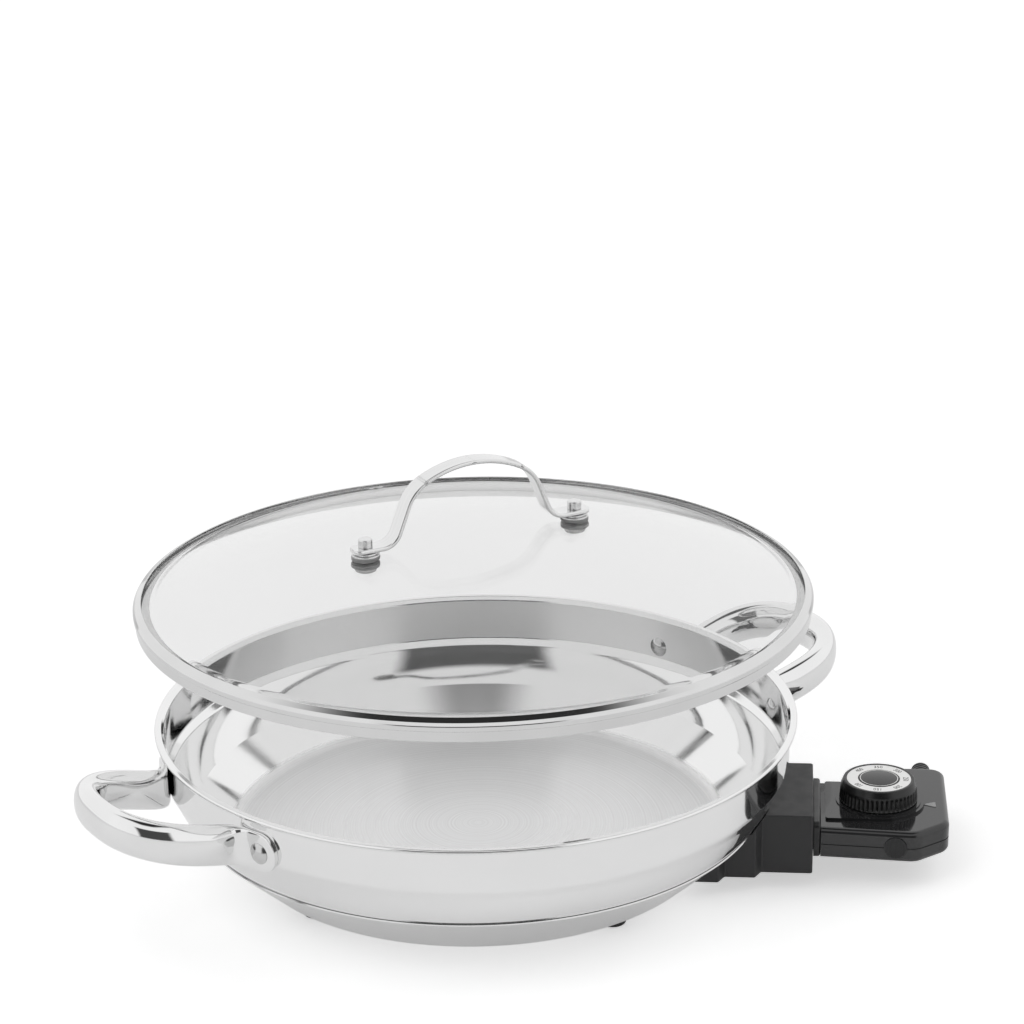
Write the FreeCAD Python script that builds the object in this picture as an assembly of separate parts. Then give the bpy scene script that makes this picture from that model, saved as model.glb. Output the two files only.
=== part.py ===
import FreeCAD, Part
import math
import os

# Electric skillet: a drawn steel pan with a closed heater base, two riveted loop handles, a lift-off
# glass lid, and a plug-in temperature control that slides out of a socket bracket under the pan.
# Millimetres. While it is built, the pan's axis is the Z axis, the table is z = 0 and the control
# points along +X. The last step moves everything sideways so that the origin is at the bottom
# centre of the whole object's box.

V = FreeCAD.Vector

# ---------- general clearances ----------
SEAT_GAP = 0.3       # between pieces of different bodies that come to rest on each other
FIT = 0.05           # between pieces of one body that sit together
RUN_FIT = 0.06       # radial clearance of a shaft that turns or slides in its own hole

# ---------- pan ----------
SHEET = 1.2          # steel thickness of the pan
LIP_R = 153.0        # outer radius of the rolled lip
LIP_T = 2.2          # height of the rolled lip
LIP_W = 3.4          # how far the lip stands out from the wall
WALL_DEPTH = 23.5    # lip top to the start of the tray ledge
LEDGE_W = 2.8        # width of the ledge
LEDGE_DROP = 3.3     # height of the ledge
FLANK_W = 10.6       # ledge to crease, across
CREASE_DEPTH = 44.8  # lip top to the crease
FLANK_BULGE = 1.6    # how far the flank swells out from a straight line
FLANK_ARC_R = 60.0
CONE_W = 24.2        # crease to the base cover's flat bottom, across
FLOOR_EDGE_R = 9.2
LEDGE_EDGE_R = 2.6
PAN_HEIGHT = 68.5    # base cover's underside to the lip top
FLOOR_DEPTH = 60.0   # lip top to the cooking floor
COVER_T = 0.8        # steel thickness of the base cover

# ---------- feet ----------
FOOT_HEIGHT = 7.5
FOOT_INSET = 14.0    # base cover's flat edge to the feet's circle
FOOT_COUNT = 4
FOOT_TOP_R = 7.2
FOOT_TOE_R = 6.2
FOOT_HOLE_R = 1.8
FOOT_SINK_R = 3.4
FOOT_SINK_DEPTH = 3.2
FOOT_SCREW_LENGTH = 9.3

# ---------- heater ----------
SPREADER_INSET = 8.0
ELEMENT_R = 2.4      # sheath radius
ELEMENT_DEPTH = 0.3  # metal left over the element's bore in the spreader
ELEMENT_INSET = 26.0  # spreader's edge to the element's ring
ELEMENT_BEND_R = 14.0
RISE_BEND_R = 8.0
CONTACT_PITCH = 22.0  # between the two contact pins
PIN_R = 2.35
PIN_LENGTH = 20.0
SLEEVE_T = 0.95

# ---------- socket bracket and plug, along X ----------
PLUG_Z = 22.3        # height of the plug's axis over the table
BRACKET_REACH = 49.5  # base cover's flat edge to the bracket's face
BRACKET_HALF_Y = 30.3
BRACKET_STEP = 6.0   # each step widens the bracket by this on both sides
BRACKET_SLANT = 2.9
BRACKET_MAIN_L = 24.0
BRACKET_STEP_L = 17.1
BRACKET_TAIL_INSET = 12.0
BRACKET_Z0 = 8.0
BRACKET_Z1 = 38.0
BRACKET_WALL = 3.0
CAVITY_HALF_Y = 25.0
PARTITION_DEPTH = 20.0  # bracket's face to the inner wall that carries the pins
PARTITION_T = 2.5
STUD_DEPTH = 34.0
STUD_Y = 31.2
STUD_R = 3.5
STUD_Z = 13.1
SCREW_R = 1.95
SCREW_HEAD_R = 3.6
SCREW_HEAD_T = 2.2
SCREW_SINK = 2.4     # screw head's seat below the stud
SCREW_REACH = 7.6    # screw's length in the stud
INSULATOR_R = 4.0
WELL_R = 4.5
NOSE_HALF_Y = 21.5
NOSE_HALF_Z = 6.75
NOSE_LENGTH = 15.0
NOSE_GAP = 1.2
FLANGE_RISE = 2.6    # flange over the housing's top
FLANGE_T = 3.2
FLANGE_EDGE_R = 1.2
SPIGOT_HALF_Y = 20.0
SPIGOT_HALF_Z = 5.0
SPIGOT_LENGTH = 3.0
PROBE_R = 3.0
PROBE_LENGTH = 26.5  # bracket's face to the probe's tip

# ---------- control housing ----------
BODY_HALF_Z = 7.75
BODY_WALL = 2.2
BODY_EDGE_R = 2.8
BODY_NARROW_Y = 26.5
BODY_NOSE_L = 48.5   # these four are lengths from the bracket's face
BODY_NOSE_Y = -30.0
BODY_END_L = 64.0
BODY_CUT_Y = -17.0
BODY_STEP_L = 35.5
BODY_STEP_R = 5.0
BODY_STEP_RUN = 6.0
BODY_WIDE_Y = 45.5
PLATEAU_T = 1.2
PLATEAU_R = 22.0
COLLAR_RING_R = 20.3
COLLAR_RING_T = 0.6
KNOB_L = 31.0
KNOB_Y = 5.0
KNOB_LIFT = 0.35     # housing ring to the knob's underside
KNOB_R = 18.6
KNOB_SKIRT_R = 18.0
KNOB_SKIRT_H = 7.3
KNOB_TOP_R = 16.8
KNOB_H = 10.3
KNOB_WALL = 2.4
KNOB_HUB_R = 5.0
FLUTE_COUNT = 48
FLUTE_R = 0.75
SHAFT_R = 3.0
DIAL_OUT_R = 15.3
DIAL_IN_R = 9.9
DIAL_T = 0.6
DIAL_SINK = 0.8
CAP_R = 9.6
CAP_DOME = 0.6
POINTER_GAP = 21.2   # knob's axis to the mark's tip
POINTER_Y = 2.5
POINTER_LENGTH = 6.0
POINTER_WIDTH = 5.6
POINTER_T = 0.6
GRIP_L = 38.5
GRIP_R = 5.3
GRIP_T = 1.4
GLAND_INSET = 10.5
GLAND_R = 5.4
GLAND_WAIST_R = 4.6
GLAND_LENGTH = 12.5
GLAND_BORE_R = 3.5
SCREW_REAR_L = 10.5
SCREW_REAR_Y = 19.0
SCREW_END_L = 55.5
SCREW_END_Y = -8.0
BOSS_R = 4.0

# ---------- side handles ----------
HANDLE_AZIMUTH = 37.5
PAD_SPREAD = 13.4    # loop's leg to the rivet, across
RIVET_DROP = 16.8    # lip top to the rivets
RIVET_SHANK_R = 3.0
RIVET_HEAD_R = 5.0
RIVET_HEAD_T = 2.2
PAD_T = 2.4
TUBE_H = 19.0
TUBE_W = 12.0
LEG_STAND = 16.0     # wall to where the loop's legs begin
LOOP_REACH = 48.4    # wall to the tube's centre at the tip
HANDLE_HALF_W = 35.2
HANDLE_ROUND = 2.4    # squareness of the loop in plan
HANDLE_TILT = 15.5    # degrees the loop rises outwards

# ---------- lid ----------
LID_RAISE = 58.0     # how far the lid is held over its seat
LID_OVERHANG = 6.1   # how far the ring stands out over the pan's lip
RING_H = 5.9
RING_LIP_W = 4.0     # width of the ring's upper lip
RING_T = 0.8
RING_EDGE_R = 2.6
SKIRT_INSET = 1.2
SKIRT_T = 0.9
SKIRT_H = 4.7
SEAT_W = 8.1         # width of the ring's lower lip
GLASS_T = 4.0
GLASS_INSET = 1.9    # ring's outside to the glass edge
DOME_SLOPE = 20.0    # degrees at the dome's edge
DOME_R = 433.6
DOME_FOOT_R = 8.0
STRAP_W = 10.0
STRAP_T = 2.2
STRAP_EDGE_R = 0.9
STRAP_AZIMUTH = 31.7
STRAP_HEIGHT = 35.0  # glass apex to the strap's middle at the top
STRAP_CROWN_R = 52.0
STRAP_CROWN_DROP = 28.0  # degrees the band has turned down after the crown
STRAP_SHOULDER_R = 20.0
STRAP_LEG_DROP = 68.0    # degrees it has turned down on the legs
STRAP_LEG = 13.0
STRAP_HEEL_R = 9.0
STRAP_FOOT = 13.8
BOLT_CIRCLE_R = 54.0
BOLT_R = 2.5
BOLT_HEAD_R = 5.0
BOLT_HEAD_T = 2.2
NUT_R = 3.35
NUT_H = 3.9
WASHER_R = 6.5
WASHER_T = 0.9
WASHER_TOP_R = 5.5
GASKET_R = 6.7
GASKET_T = 1.5
GLASS_HOLE_R = 3.0
VENT_INSET = 21.1
VENT_AZIMUTH = 116.7
VENT_FLANGE_R = 3.8
VENT_FLANGE_T = 0.6
VENT_TUBE_R = 2.4
VENT_BORE_R = 1.3

# ---------- radii, places and levels that follow ----------
WALL_R = LIP_R - LIP_W
LEDGE_R = WALL_R - LEDGE_W
CREASE_R = LEDGE_R - FLANK_W
BASE_R = CREASE_R - CONE_W
FOOT_CIRCLE_R = BASE_R - FOOT_INSET
SPREADER_R = BASE_R - SPREADER_INSET
ELEMENT_RING_R = SPREADER_R - ELEMENT_INSET
BRACKET_FACE_X = BASE_R + BRACKET_REACH
BRACKET_MAIN_X = BRACKET_FACE_X - BRACKET_MAIN_L
BRACKET_STEP_X = BRACKET_MAIN_X - BRACKET_STEP_L
BRACKET_TAIL_X = BASE_R - BRACKET_TAIL_INSET
PARTITION_X = BRACKET_FACE_X - PARTITION_DEPTH
STUD_X = BRACKET_FACE_X - STUD_DEPTH
PROBE_TIP_X = BRACKET_FACE_X - PROBE_LENGTH
BODY_NOSE_X = BRACKET_FACE_X + BODY_NOSE_L
BODY_END_X = BRACKET_FACE_X + BODY_END_L
BODY_STEP_X = BRACKET_FACE_X + BODY_STEP_L
KNOB_X = BRACKET_FACE_X + KNOB_L
POINTER_X = KNOB_X + POINTER_GAP
GRIP_X = BRACKET_FACE_X + GRIP_L
GLAND_X = BODY_END_X - GLAND_INSET
SCREW_REAR_X = BRACKET_FACE_X + SCREW_REAR_L
SCREW_END_X = BRACKET_FACE_X + SCREW_END_L
HANDLE_START = WALL_R + LEG_STAND
HANDLE_REACH = WALL_R + LOOP_REACH
RING_R = LIP_R + LID_OVERHANG
RING_IN_R = RING_R - RING_LIP_W
SKIRT_R = RING_R - SKIRT_INSET
SEAT_IN_R = RING_R - SEAT_W
GLASS_EDGE_R = RING_R - GLASS_INSET
VENT_R = RING_R - VENT_INSET
BASE_Z = FOOT_HEIGHT
RIM_Z = BASE_Z + PAN_HEIGHT
FLOOR_Z = RIM_Z - FLOOR_DEPTH
CREASE_Z = RIM_Z - CREASE_DEPTH
SEAT_Z = RIM_Z + SEAT_GAP + LID_RAISE
BODY_Z0 = PLUG_Z - BODY_HALF_Z
BODY_Z1 = PLUG_Z + BODY_HALF_Z
FLANGE_X = BRACKET_FACE_X + SEAT_GAP
BODY_X0 = FLANGE_X + FLANGE_T + FIT


# ---------- small geometry tools ----------
def corner_cut(before, corner, after, radius):
    """Two tangent points and the arc's middle point of a corner rounded by radius."""
    a = (before - corner).normalize()
    b = (after - corner).normalize()
    half = math.acos(max(-1.0, min(1.0, a.dot(b)))) / 2
    reach = radius / math.tan(half)
    middle = (a + b).normalize()
    centre = corner + middle * (radius / math.sin(half))
    return corner + a * reach, centre - middle * radius, corner + b * reach


def rounded_wire(points, plane="XZ"):
    """Closed wire through (u, v, radius) corners; radius 0 keeps a corner sharp."""
    place = (lambda u, v: V(u, 0, v)) if plane == "XZ" else (lambda u, v: V(u, v, 0))
    corners = [place(u, v) for u, v, radius in points]
    cuts = []
    for i, (u, v, radius) in enumerate(points):
        if radius > 0:
            cuts.append(corner_cut(corners[i - 1], corners[i], corners[(i + 1) % len(points)], radius))
        else:
            cuts.append((corners[i], None, corners[i]))
    edges = []
    for i, (start, middle, end) in enumerate(cuts):
        if middle is not None:
            edges.append(Part.Arc(start, middle, end).toShape())
        following = cuts[(i + 1) % len(cuts)][0]
        if end.distanceToPoint(following) > 1e-6:
            edges.append(Part.LineSegment(end, following).toShape())
    return Part.Wire(edges)


def turned(points):
    """Solid of revolution about Z of a closed rounded outline in the XZ plane."""
    return Part.Face(rounded_wire(points)).revolve(V(0, 0, 0), V(0, 0, 1), 360)


def prism(points, z0, z1):
    """Upright solid between two heights over a closed rounded outline in the XY plane."""
    face = Part.Face(rounded_wire(points, "XY"))
    face.translate(V(0, 0, z0))
    return face.extrude(V(0, 0, z1 - z0))


def rod(radius, start, end):
    """Round bar between two points."""
    return Part.makeCylinder(radius, (end - start).Length, start, end - start)


def block(x0, x1, y0, y1, z0, z1):
    """Box between two corners."""
    return Part.makeBox(x1 - x0, y1 - y0, z1 - z0, V(x0, y0, z0))


def offset_path(path, distance):
    """Open path of (u, v) points moved to its left by distance, with mitred corners."""
    lines = []
    for (u0, v0), (u1, v1) in zip(path, path[1:]):
        length = math.hypot(u1 - u0, v1 - v0)
        nu, nv = -(v1 - v0) / length, (u1 - u0) / length
        lines.append((u0 + nu * distance, v0 + nv * distance, (u1 - u0) / length, (v1 - v0) / length))
    moved = [lines[0][:2]]
    for (au, av, adu, adv), (bu, bv, bdu, bdv) in zip(lines, lines[1:]):
        cross = adu * bdv - adv * bdu
        t = ((bu - au) * bdv - (bv - av) * bdu) / cross
        moved.append((au + adu * t, av + adv * t))
    u, v, du, dv = lines[-1]
    length = math.hypot(path[-1][0] - path[-2][0], path[-1][1] - path[-2][1])
    moved.append((u + du * length, v + dv * length))
    return moved


def turns_left(before, corner, after):
    """True when the path turns left at the corner."""
    du, dv = corner[0] - before[0], corner[1] - before[1]
    return du * (after[1] - corner[1]) - dv * (after[0] - corner[0]) > 0


def offset_loop(points, distance):
    """Closed anticlockwise (u, v, radius) outline moved inwards by distance."""
    ring = [points[-1]] + list(points) + [points[0]]
    moved = offset_path([(u, v) for u, v, radius in ring], distance)[1:-1]
    loop = []
    for i, (u, v) in enumerate(moved):
        convex = turns_left(ring[i], ring[i + 1], ring[i + 2])
        radius = points[i][2] + (-distance if convex else distance)
        loop.append((u, v, max(radius, 0.0)))
    return loop


def strip(path, thickness):
    """Closed outline of a band of a thickness that follows an open (u, v, radius) path."""
    flat = [(u, v) for u, v, radius in path]
    sides = []
    for sign in (1, -1):
        moved = offset_path(flat, sign * thickness / 2)
        side = [(moved[0][0], moved[0][1], 0)]
        for i in range(1, len(path) - 1):
            left = turns_left(flat[i - 1], flat[i], flat[i + 1])
            change = thickness / 2 if left == (sign < 0) else -thickness / 2
            side.append((moved[i][0], moved[i][1], path[i][2] + change))
        side.append((moved[-1][0], moved[-1][1], 0))
        sides.append(side)
    return sides[0] + sides[1][::-1]


def turned_x(points, y=0.0, z=0.0):
    """Solid of revolution about a line along X; the outline's points are (radius, x, fillet)."""
    solid = turned(points)
    solid.rotate(V(0, 0, 0), V(0, 1, 0), 90)
    solid.translate(V(0, y, z))
    return solid


def around_z(shape, degrees):
    """Copy of a shape turned about the pan's axis."""
    copy = shape.copy()
    copy.rotate(V(0, 0, 0), V(0, 0, 1), degrees)
    return copy


def group(shapes):
    """Separate solids kept in one node."""
    return Part.makeCompound([solid for shape in shapes for solid in shape.Solids])


# ---------- pan ----------
# The outer skin runs down from the lip: straight wall, tray ledge, swelling flank, lower cone.
# The cone's slope comes from the base cover, which laps the pan from the crease down.
crease_dr = CREASE_R - BASE_R
crease_dz = CREASE_Z - BASE_Z
LAP = COVER_T + FIT
CONE_ANGLE = math.atan2(crease_dz, crease_dr) - math.asin(LAP / math.hypot(crease_dr, crease_dz))
cone_u, cone_v = math.cos(CONE_ANGLE), math.sin(CONE_ANGLE)
COVER_TOP_R = BASE_R + (CREASE_Z - BASE_Z) * cone_u / cone_v
PAN_FLOOR_OUT_R = CREASE_R - (CREASE_Z - FLOOR_Z + SHEET) * cone_u / cone_v
LEDGE_Z = RIM_Z - WALL_DEPTH
FLANK_Z = LEDGE_Z - LEDGE_DROP
flank_u, flank_v = LEDGE_R - CREASE_R, FLANK_Z - CREASE_Z
flank_len = math.hypot(flank_u, flank_v)
FLANK_MID = (
    CREASE_R + flank_u / 2 + flank_v / flank_len * FLANK_BULGE,
    CREASE_Z + flank_v / 2 - flank_u / flank_len * FLANK_BULGE,
)
skin = [
    (WALL_R, RIM_Z - LIP_T),
    (WALL_R, LEDGE_Z),
    (LEDGE_R, FLANK_Z),
    FLANK_MID,
    (CREASE_R, CREASE_Z),
    (PAN_FLOOR_OUT_R, FLOOR_Z - SHEET),
    (0, FLOOR_Z - SHEET),
]
skin_radii = [0.8, LEDGE_EDGE_R, LEDGE_EDGE_R, FLANK_ARC_R, 1.5, FLOOR_EDGE_R, 0]
inside = offset_path(skin, -SHEET)
inside_radii = [
    0, LEDGE_EDGE_R - SHEET, LEDGE_EDGE_R + SHEET, FLANK_ARC_R - SHEET, 1.5, FLOOR_EDGE_R - SHEET, 0]
LIP_FLARE = 2.0
lip = [
    (inside[0][0], RIM_Z - LIP_FLARE, 1.5),
    (inside[0][0] + LIP_FLARE * 0.8, RIM_Z, 0.8),
    (LIP_R, RIM_Z, LIP_T * 0.48),
    (LIP_R, RIM_Z - LIP_T, LIP_T * 0.48),
]
down = [(r, z, f) for (r, z), f in zip(skin, skin_radii)]
up = [(r, z, f) for (r, z), f in zip(inside, inside_radii)][:0:-1]
pan = turned(lip + down + up)

# Everything the pan and its cover fill, for cutting what is fitted against them from below.
hull_cone = [(COVER_TOP_R, CREASE_Z), (BASE_R, BASE_Z)]


def pan_hull(gap):
    """Solid of the covered pan, grown by gap, up to the lip."""
    path = [(WALL_R, RIM_Z), (WALL_R, LEDGE_Z), (LEDGE_R, FLANK_Z), FLANK_MID]
    path += hull_cone + [(0, BASE_Z)]
    grown = offset_path(path, gap)
    return turned([(r, z, 0) for r, z in grown] + [(0, RIM_Z, 0)])


# Base cover: a shallow cup that laps the lower cone and closes the heater space.
cover_path = [(COVER_TOP_R, CREASE_Z), (BASE_R, BASE_Z), (0, BASE_Z)]
cover_in = offset_path(cover_path, -COVER_T)
cover = turned(
    [(COVER_TOP_R, CREASE_Z, 0), (BASE_R, BASE_Z, 3.0), (0, BASE_Z, 0)]
    + [(0, cover_in[2][1], 0), (cover_in[1][0], cover_in[1][1], 2.2), (cover_in[0][0], cover_in[0][1], 0)]
)

# Heat spreader: aluminium disc between the floor and the cover, cast round the element.
SPREADER_Z0 = BASE_Z + COVER_T + FIT
SPREADER_Z1 = FLOOR_Z - SHEET - FIT
ELEMENT_Z = SPREADER_Z1 - ELEMENT_DEPTH - FIT - ELEMENT_R
spreader = Part.makeCylinder(SPREADER_R, SPREADER_Z1 - SPREADER_Z0, V(0, 0, SPREADER_Z0))


# ---------- heating element ----------
def element_path():
    """Open ring with two tangent tails along X that rise to the plug's height."""
    half = CONTACT_PITCH / 2
    reach = ELEMENT_RING_R + ELEMENT_BEND_R
    bend_x = math.sqrt(reach ** 2 - (half + ELEMENT_BEND_R) ** 2)
    touch = math.atan2(half + ELEMENT_BEND_R, bend_x)
    bend = V(bend_x, half + ELEMENT_BEND_R, ELEMENT_Z)
    rise = PLUG_Z - ELEMENT_Z
    quarter = RISE_BEND_R * math.sin(math.pi / 4)
    drop = RISE_BEND_R * (1 - math.cos(math.pi / 4))
    slope = rise - 2 * drop
    x_bend = ELEMENT_END_X - 2 * quarter - slope - 3.0
    eighth = math.pi / 8

    def tail(x, dz):
        return V(x, half, ELEMENT_Z + dz)

    arc_mid = touch + math.pi + (math.pi / 2 - touch) / 2
    edges = [
        Part.LineSegment(tail(ELEMENT_END_X, rise), tail(ELEMENT_END_X - 3.0, rise)),
        Part.Arc(
            tail(ELEMENT_END_X - 3.0, rise),
            tail(ELEMENT_END_X - 3.0 - RISE_BEND_R * math.sin(eighth), rise - RISE_BEND_R * (1 - math.cos(eighth))),
            tail(x_bend + quarter + slope, drop + slope),
        ),
        Part.LineSegment(tail(x_bend + quarter + slope, drop + slope), tail(x_bend + quarter, drop)),
        Part.Arc(
            tail(x_bend + quarter, drop),
            tail(x_bend + RISE_BEND_R * math.sin(eighth), RISE_BEND_R * (1 - math.cos(eighth))),
            tail(x_bend, 0),
        ),
        Part.LineSegment(tail(x_bend, 0), tail(bend_x, 0)),
        Part.Arc(
            tail(bend_x, 0),
            bend + V(math.cos(arc_mid), math.sin(arc_mid), 0) * ELEMENT_BEND_R,
            V(math.cos(touch), math.sin(touch), 0) * ELEMENT_RING_R + V(0, 0, ELEMENT_Z),
        ),
    ]
    half_ring = Part.Arc(
        V(math.cos(touch), math.sin(touch), 0) * ELEMENT_RING_R + V(0, 0, ELEMENT_Z),
        V(math.cos(math.pi / 2), math.sin(math.pi / 2), 0) * ELEMENT_RING_R + V(0, 0, ELEMENT_Z),
        V(-ELEMENT_RING_R, 0, ELEMENT_Z),
    )
    one_side = [edge.toShape() for edge in edges + [half_ring]]
    return Part.Wire(one_side)


def along(path, radius):
    """Round tube of a radius along one half of the element."""
    start = path.Edges[0].firstVertex(True).Point
    profile = Part.Wire(Part.makeCircle(radius, start, V(-1, 0, 0)))
    return path.makePipeShell([profile], True, False)


ELEMENT_END_X = PARTITION_X - 2.0
half_path = element_path()


def both_halves(radius):
    """Half tube joined to its mirror image across the XZ plane."""
    half_tube = along(half_path, radius)
    other = half_tube.mirror(V(0, 0, 0), V(0, 1, 0))
    return half_tube.fuse(other).removeSplitter()


element = both_halves(ELEMENT_R)
groove = both_halves(ELEMENT_R + FIT)
spreader = spreader.cut(groove)
for side in (-1, 1):
    exit_y = side * CONTACT_PITCH / 2
    exit_hole = rod(ELEMENT_R + FIT, V(BRACKET_TAIL_X, exit_y, ELEMENT_Z), V(BRACKET_MAIN_X, exit_y, ELEMENT_Z))
    cover = cover.cut(exit_hole)

# ---------- feet ----------
foot = turned([
    (FOOT_HOLE_R, BASE_Z - FIT, 0),
    (FOOT_HOLE_R, FOOT_SINK_DEPTH, 0),
    (FOOT_SINK_R, FOOT_SINK_DEPTH, 0),
    (FOOT_SINK_R, 0, 0),
    (FOOT_TOE_R, 0, 1.4),
    (FOOT_TOP_R, BASE_Z - FIT, 0.6),
])
screw_head_z = FOOT_SINK_DEPTH - 2.0
foot_screw = rod(FOOT_SINK_R - 0.4, V(0, 0, screw_head_z), V(0, 0, FOOT_SINK_DEPTH))
foot_screw = foot_screw.fuse(rod(FOOT_HOLE_R - 0.1, V(0, 0, FOOT_SINK_DEPTH),
                                 V(0, 0, FOOT_SINK_DEPTH + FOOT_SCREW_LENGTH)))
foot_screw = foot_screw.cut(block(-2.0, 2.0, -0.4, 0.4, 0, screw_head_z + 0.9))
foot_screw = foot_screw.cut(block(-0.4, 0.4, -2.0, 2.0, 0, screw_head_z + 0.9))
feet, foot_screws = [], []
for i in range(FOOT_COUNT):
    turn = 360.0 / FOOT_COUNT * (i + 0.5)
    for shapes, piece in ((feet, foot), (foot_screws, foot_screw)):
        copy = piece.copy()
        copy.translate(V(FOOT_CIRCLE_R, 0, 0))
        shapes.append(around_z(copy, turn))
    hole_top = FOOT_SINK_DEPTH + FOOT_SCREW_LENGTH + 0.3
    hole = rod(FOOT_HOLE_R, V(FOOT_CIRCLE_R, 0, 0), V(FOOT_CIRCLE_R, 0, hole_top))
    hole = around_z(hole, turn)
    cover = cover.cut(hole)
    spreader = spreader.cut(hole)

# ---------- side handles ----------
# One handle is modelled along +X: a flat pad that follows the wall round each rivet, and a tube loop
# whose sections swell from the pad's thickness to the full oval while they turn away from the wall.
PAD_IN_R = WALL_R + FIT
PAD_OUT_R = PAD_IN_R + PAD_T
RIVET_ANGLE = math.degrees(math.asin((HANDLE_HALF_W + PAD_SPREAD) / (PAD_IN_R + PAD_T / 2)))
RIVET_Z = RIM_Z - RIVET_DROP
TILT = math.radians(HANDLE_TILT)
LEG_FLAT = TUBE_H * 0.28   # rivet to where the flat pad begins to swell, along the wall


def oval(centre, heading, lean, width, height, power):
    """Closed section across a heading, leaning by an angle; squarer as power grows."""
    across = V(heading.y, -heading.x, 0).normalize()
    up = V(-math.sin(lean), 0, math.cos(lean))
    up = (up - across * up.dot(across)).normalize()
    count = 14
    points = []
    for i in range(count):
        angle = 2 * math.pi * i / count
        c, s = math.cos(angle), math.sin(angle)
        u = math.copysign(abs(c) ** (2 / power), c) * width / 2
        w = math.copysign(abs(s) ** (2 / power), s) * height / 2
        points.append(centre + across * u + up * w)
    curve = Part.BSplineCurve()
    curve.interpolate(points, PeriodicFlag=True)
    return Part.Wire(curve.toShape())


def loop_point(turn):
    """Point of the loop's centre line; turn runs from 0 at one leg's foot to 1 at the other's."""
    angle = math.pi * turn
    c, s = math.cos(angle), math.sin(angle)
    x = HANDLE_START + (HANDLE_REACH - HANDLE_START) * abs(s) ** (2 / HANDLE_ROUND)
    y = math.copysign(abs(c) ** (2 / HANDLE_ROUND), c) * HANDLE_HALF_W
    return V(x, y, RIVET_Z + (x - WALL_R) * math.tan(TILT))


def leg_sections():
    """Sections from the flat pad to the full tube: a curve that leaves the wall and turns outwards."""
    angle = math.radians(RIVET_ANGLE) - LEG_FLAT / PAD_OUT_R
    along = V(math.sin(angle), -math.cos(angle), 0)
    start = V(math.cos(angle), math.sin(angle), 0) * (PAD_IN_R + PAD_T / 2) + V(0, 0, RIVET_Z)
    end = loop_point(0)
    span = (end - start).Length
    bends = [start, start + along * span * 0.5, end - V(1, 0, math.tan(TILT)) * span * 0.5, end]
    sections = []
    for t in (0.0, 0.15, 0.3, 0.45, 0.6, 0.8):
        u = 1 - t
        weights = (u ** 3, 3 * t * u ** 2, 3 * t ** 2 * u, t ** 3)
        centre = sum((p * w for p, w in zip(bends, weights)), V(0, 0, 0))
        slopes = (u ** 2, 2 * t * u, t ** 2)
        heading = sum(((q - p) * w for p, q, w in zip(bends, bends[1:], slopes)), V(0, 0, 0))
        ease = t ** 1.4 * (2.4 - 1.4 * t)
        width = PAD_T + (TUBE_W - PAD_T) * ease
        sections.append((centre, V(heading.x, heading.y, 0), TILT * ease, width, 4.0 - 1.8 * ease))
    return sections


def handle_loft():
    """Tube of one handle as a smooth loft from pad to pad."""
    first = leg_sections()
    middle = []
    steps = 16
    for i in range(steps + 1):
        here = loop_point(i / steps)
        ahead = loop_point(min(i / steps + 0.01, 1.0))
        behind = loop_point(max(i / steps - 0.01, 0.0))
        heading = (ahead - behind).normalize() if 0 < i < steps else V(1 if i == 0 else -1, 0, 0)
        middle.append((here, V(heading.x, heading.y, 0), TILT, TUBE_W, 2.2))
    last = []
    for centre, heading, lean, width, power in first[::-1]:
        last.append((V(centre.x, -centre.y, centre.z), V(-heading.x, heading.y, 0), lean, width, power))
    sections = [oval(c, h, lean, width, TUBE_H, power) for c, h, lean, width, power in first + middle + last]
    return Part.makeLoft(sections, True, False)


def radial_rod(radius, r0, r1, degrees, z):
    """Round bar that points out from the pan's axis."""
    bar = rod(radius, V(r0, 0, z), V(r1, 0, z))
    return around_z(bar, degrees)


def rivet_shape():
    """Domed rivet along X, its inner head against the wall and its outer head on the pad."""
    inner_face = WALL_R - SHEET - 0.1
    outer_face = PAD_OUT_R + FIT
    shank = rod(RIVET_SHANK_R, V(inner_face, 0, 0), V(outer_face, 0, 0))
    heads = []
    for face, outward in ((inner_face, -1), (outer_face, 1)):
        dome_r = (RIVET_HEAD_R ** 2 + RIVET_HEAD_T ** 2) / (2 * RIVET_HEAD_T)
        ball = Part.makeSphere(dome_r, V(face + outward * (RIVET_HEAD_T - dome_r), 0, 0))
        slab = rod(RIVET_HEAD_R, V(face, 0, 0), V(face + outward * RIVET_HEAD_T, 0, 0))
        heads.append(ball.common(slab))
    return shank.fuse(heads)


# The pad is a ring of the wall's shape cut to an outline with one round end.
pad_band = turned([
    (PAD_IN_R, RIVET_Z - TUBE_H, 0),
    (PAD_OUT_R, RIVET_Z - TUBE_H, 0),
    (PAD_OUT_R, RIVET_Z + TUBE_H, 0),
    (PAD_IN_R, RIVET_Z + TUBE_H, 0),
])
PAD_HALF_H = TUBE_H / 2 + FIT
pad_cutter = radial_rod(PAD_HALF_H, WALL_R - TUBE_W, WALL_R + TUBE_W, 0, RIVET_Z)
pad_cutter = pad_cutter.fuse(block(WALL_R - TUBE_W, WALL_R + TUBE_W, -LEG_FLAT - TUBE_W / 4, 0,
                                   RIVET_Z - PAD_HALF_H, RIVET_Z + PAD_HALF_H)).removeSplitter()
handle = handle_loft()
for side in (-1, 1):
    outline_bar = pad_cutter if side > 0 else pad_cutter.mirror(V(0, 0, 0), V(0, 1, 0))
    handle = handle.fuse(pad_band.common(around_z(outline_bar, side * RIVET_ANGLE)))
handle = handle.cut(Part.makeCylinder(PAD_IN_R, RIM_Z + TUBE_H))
rivet = rivet_shape()
rivets, handles = [], []
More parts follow.
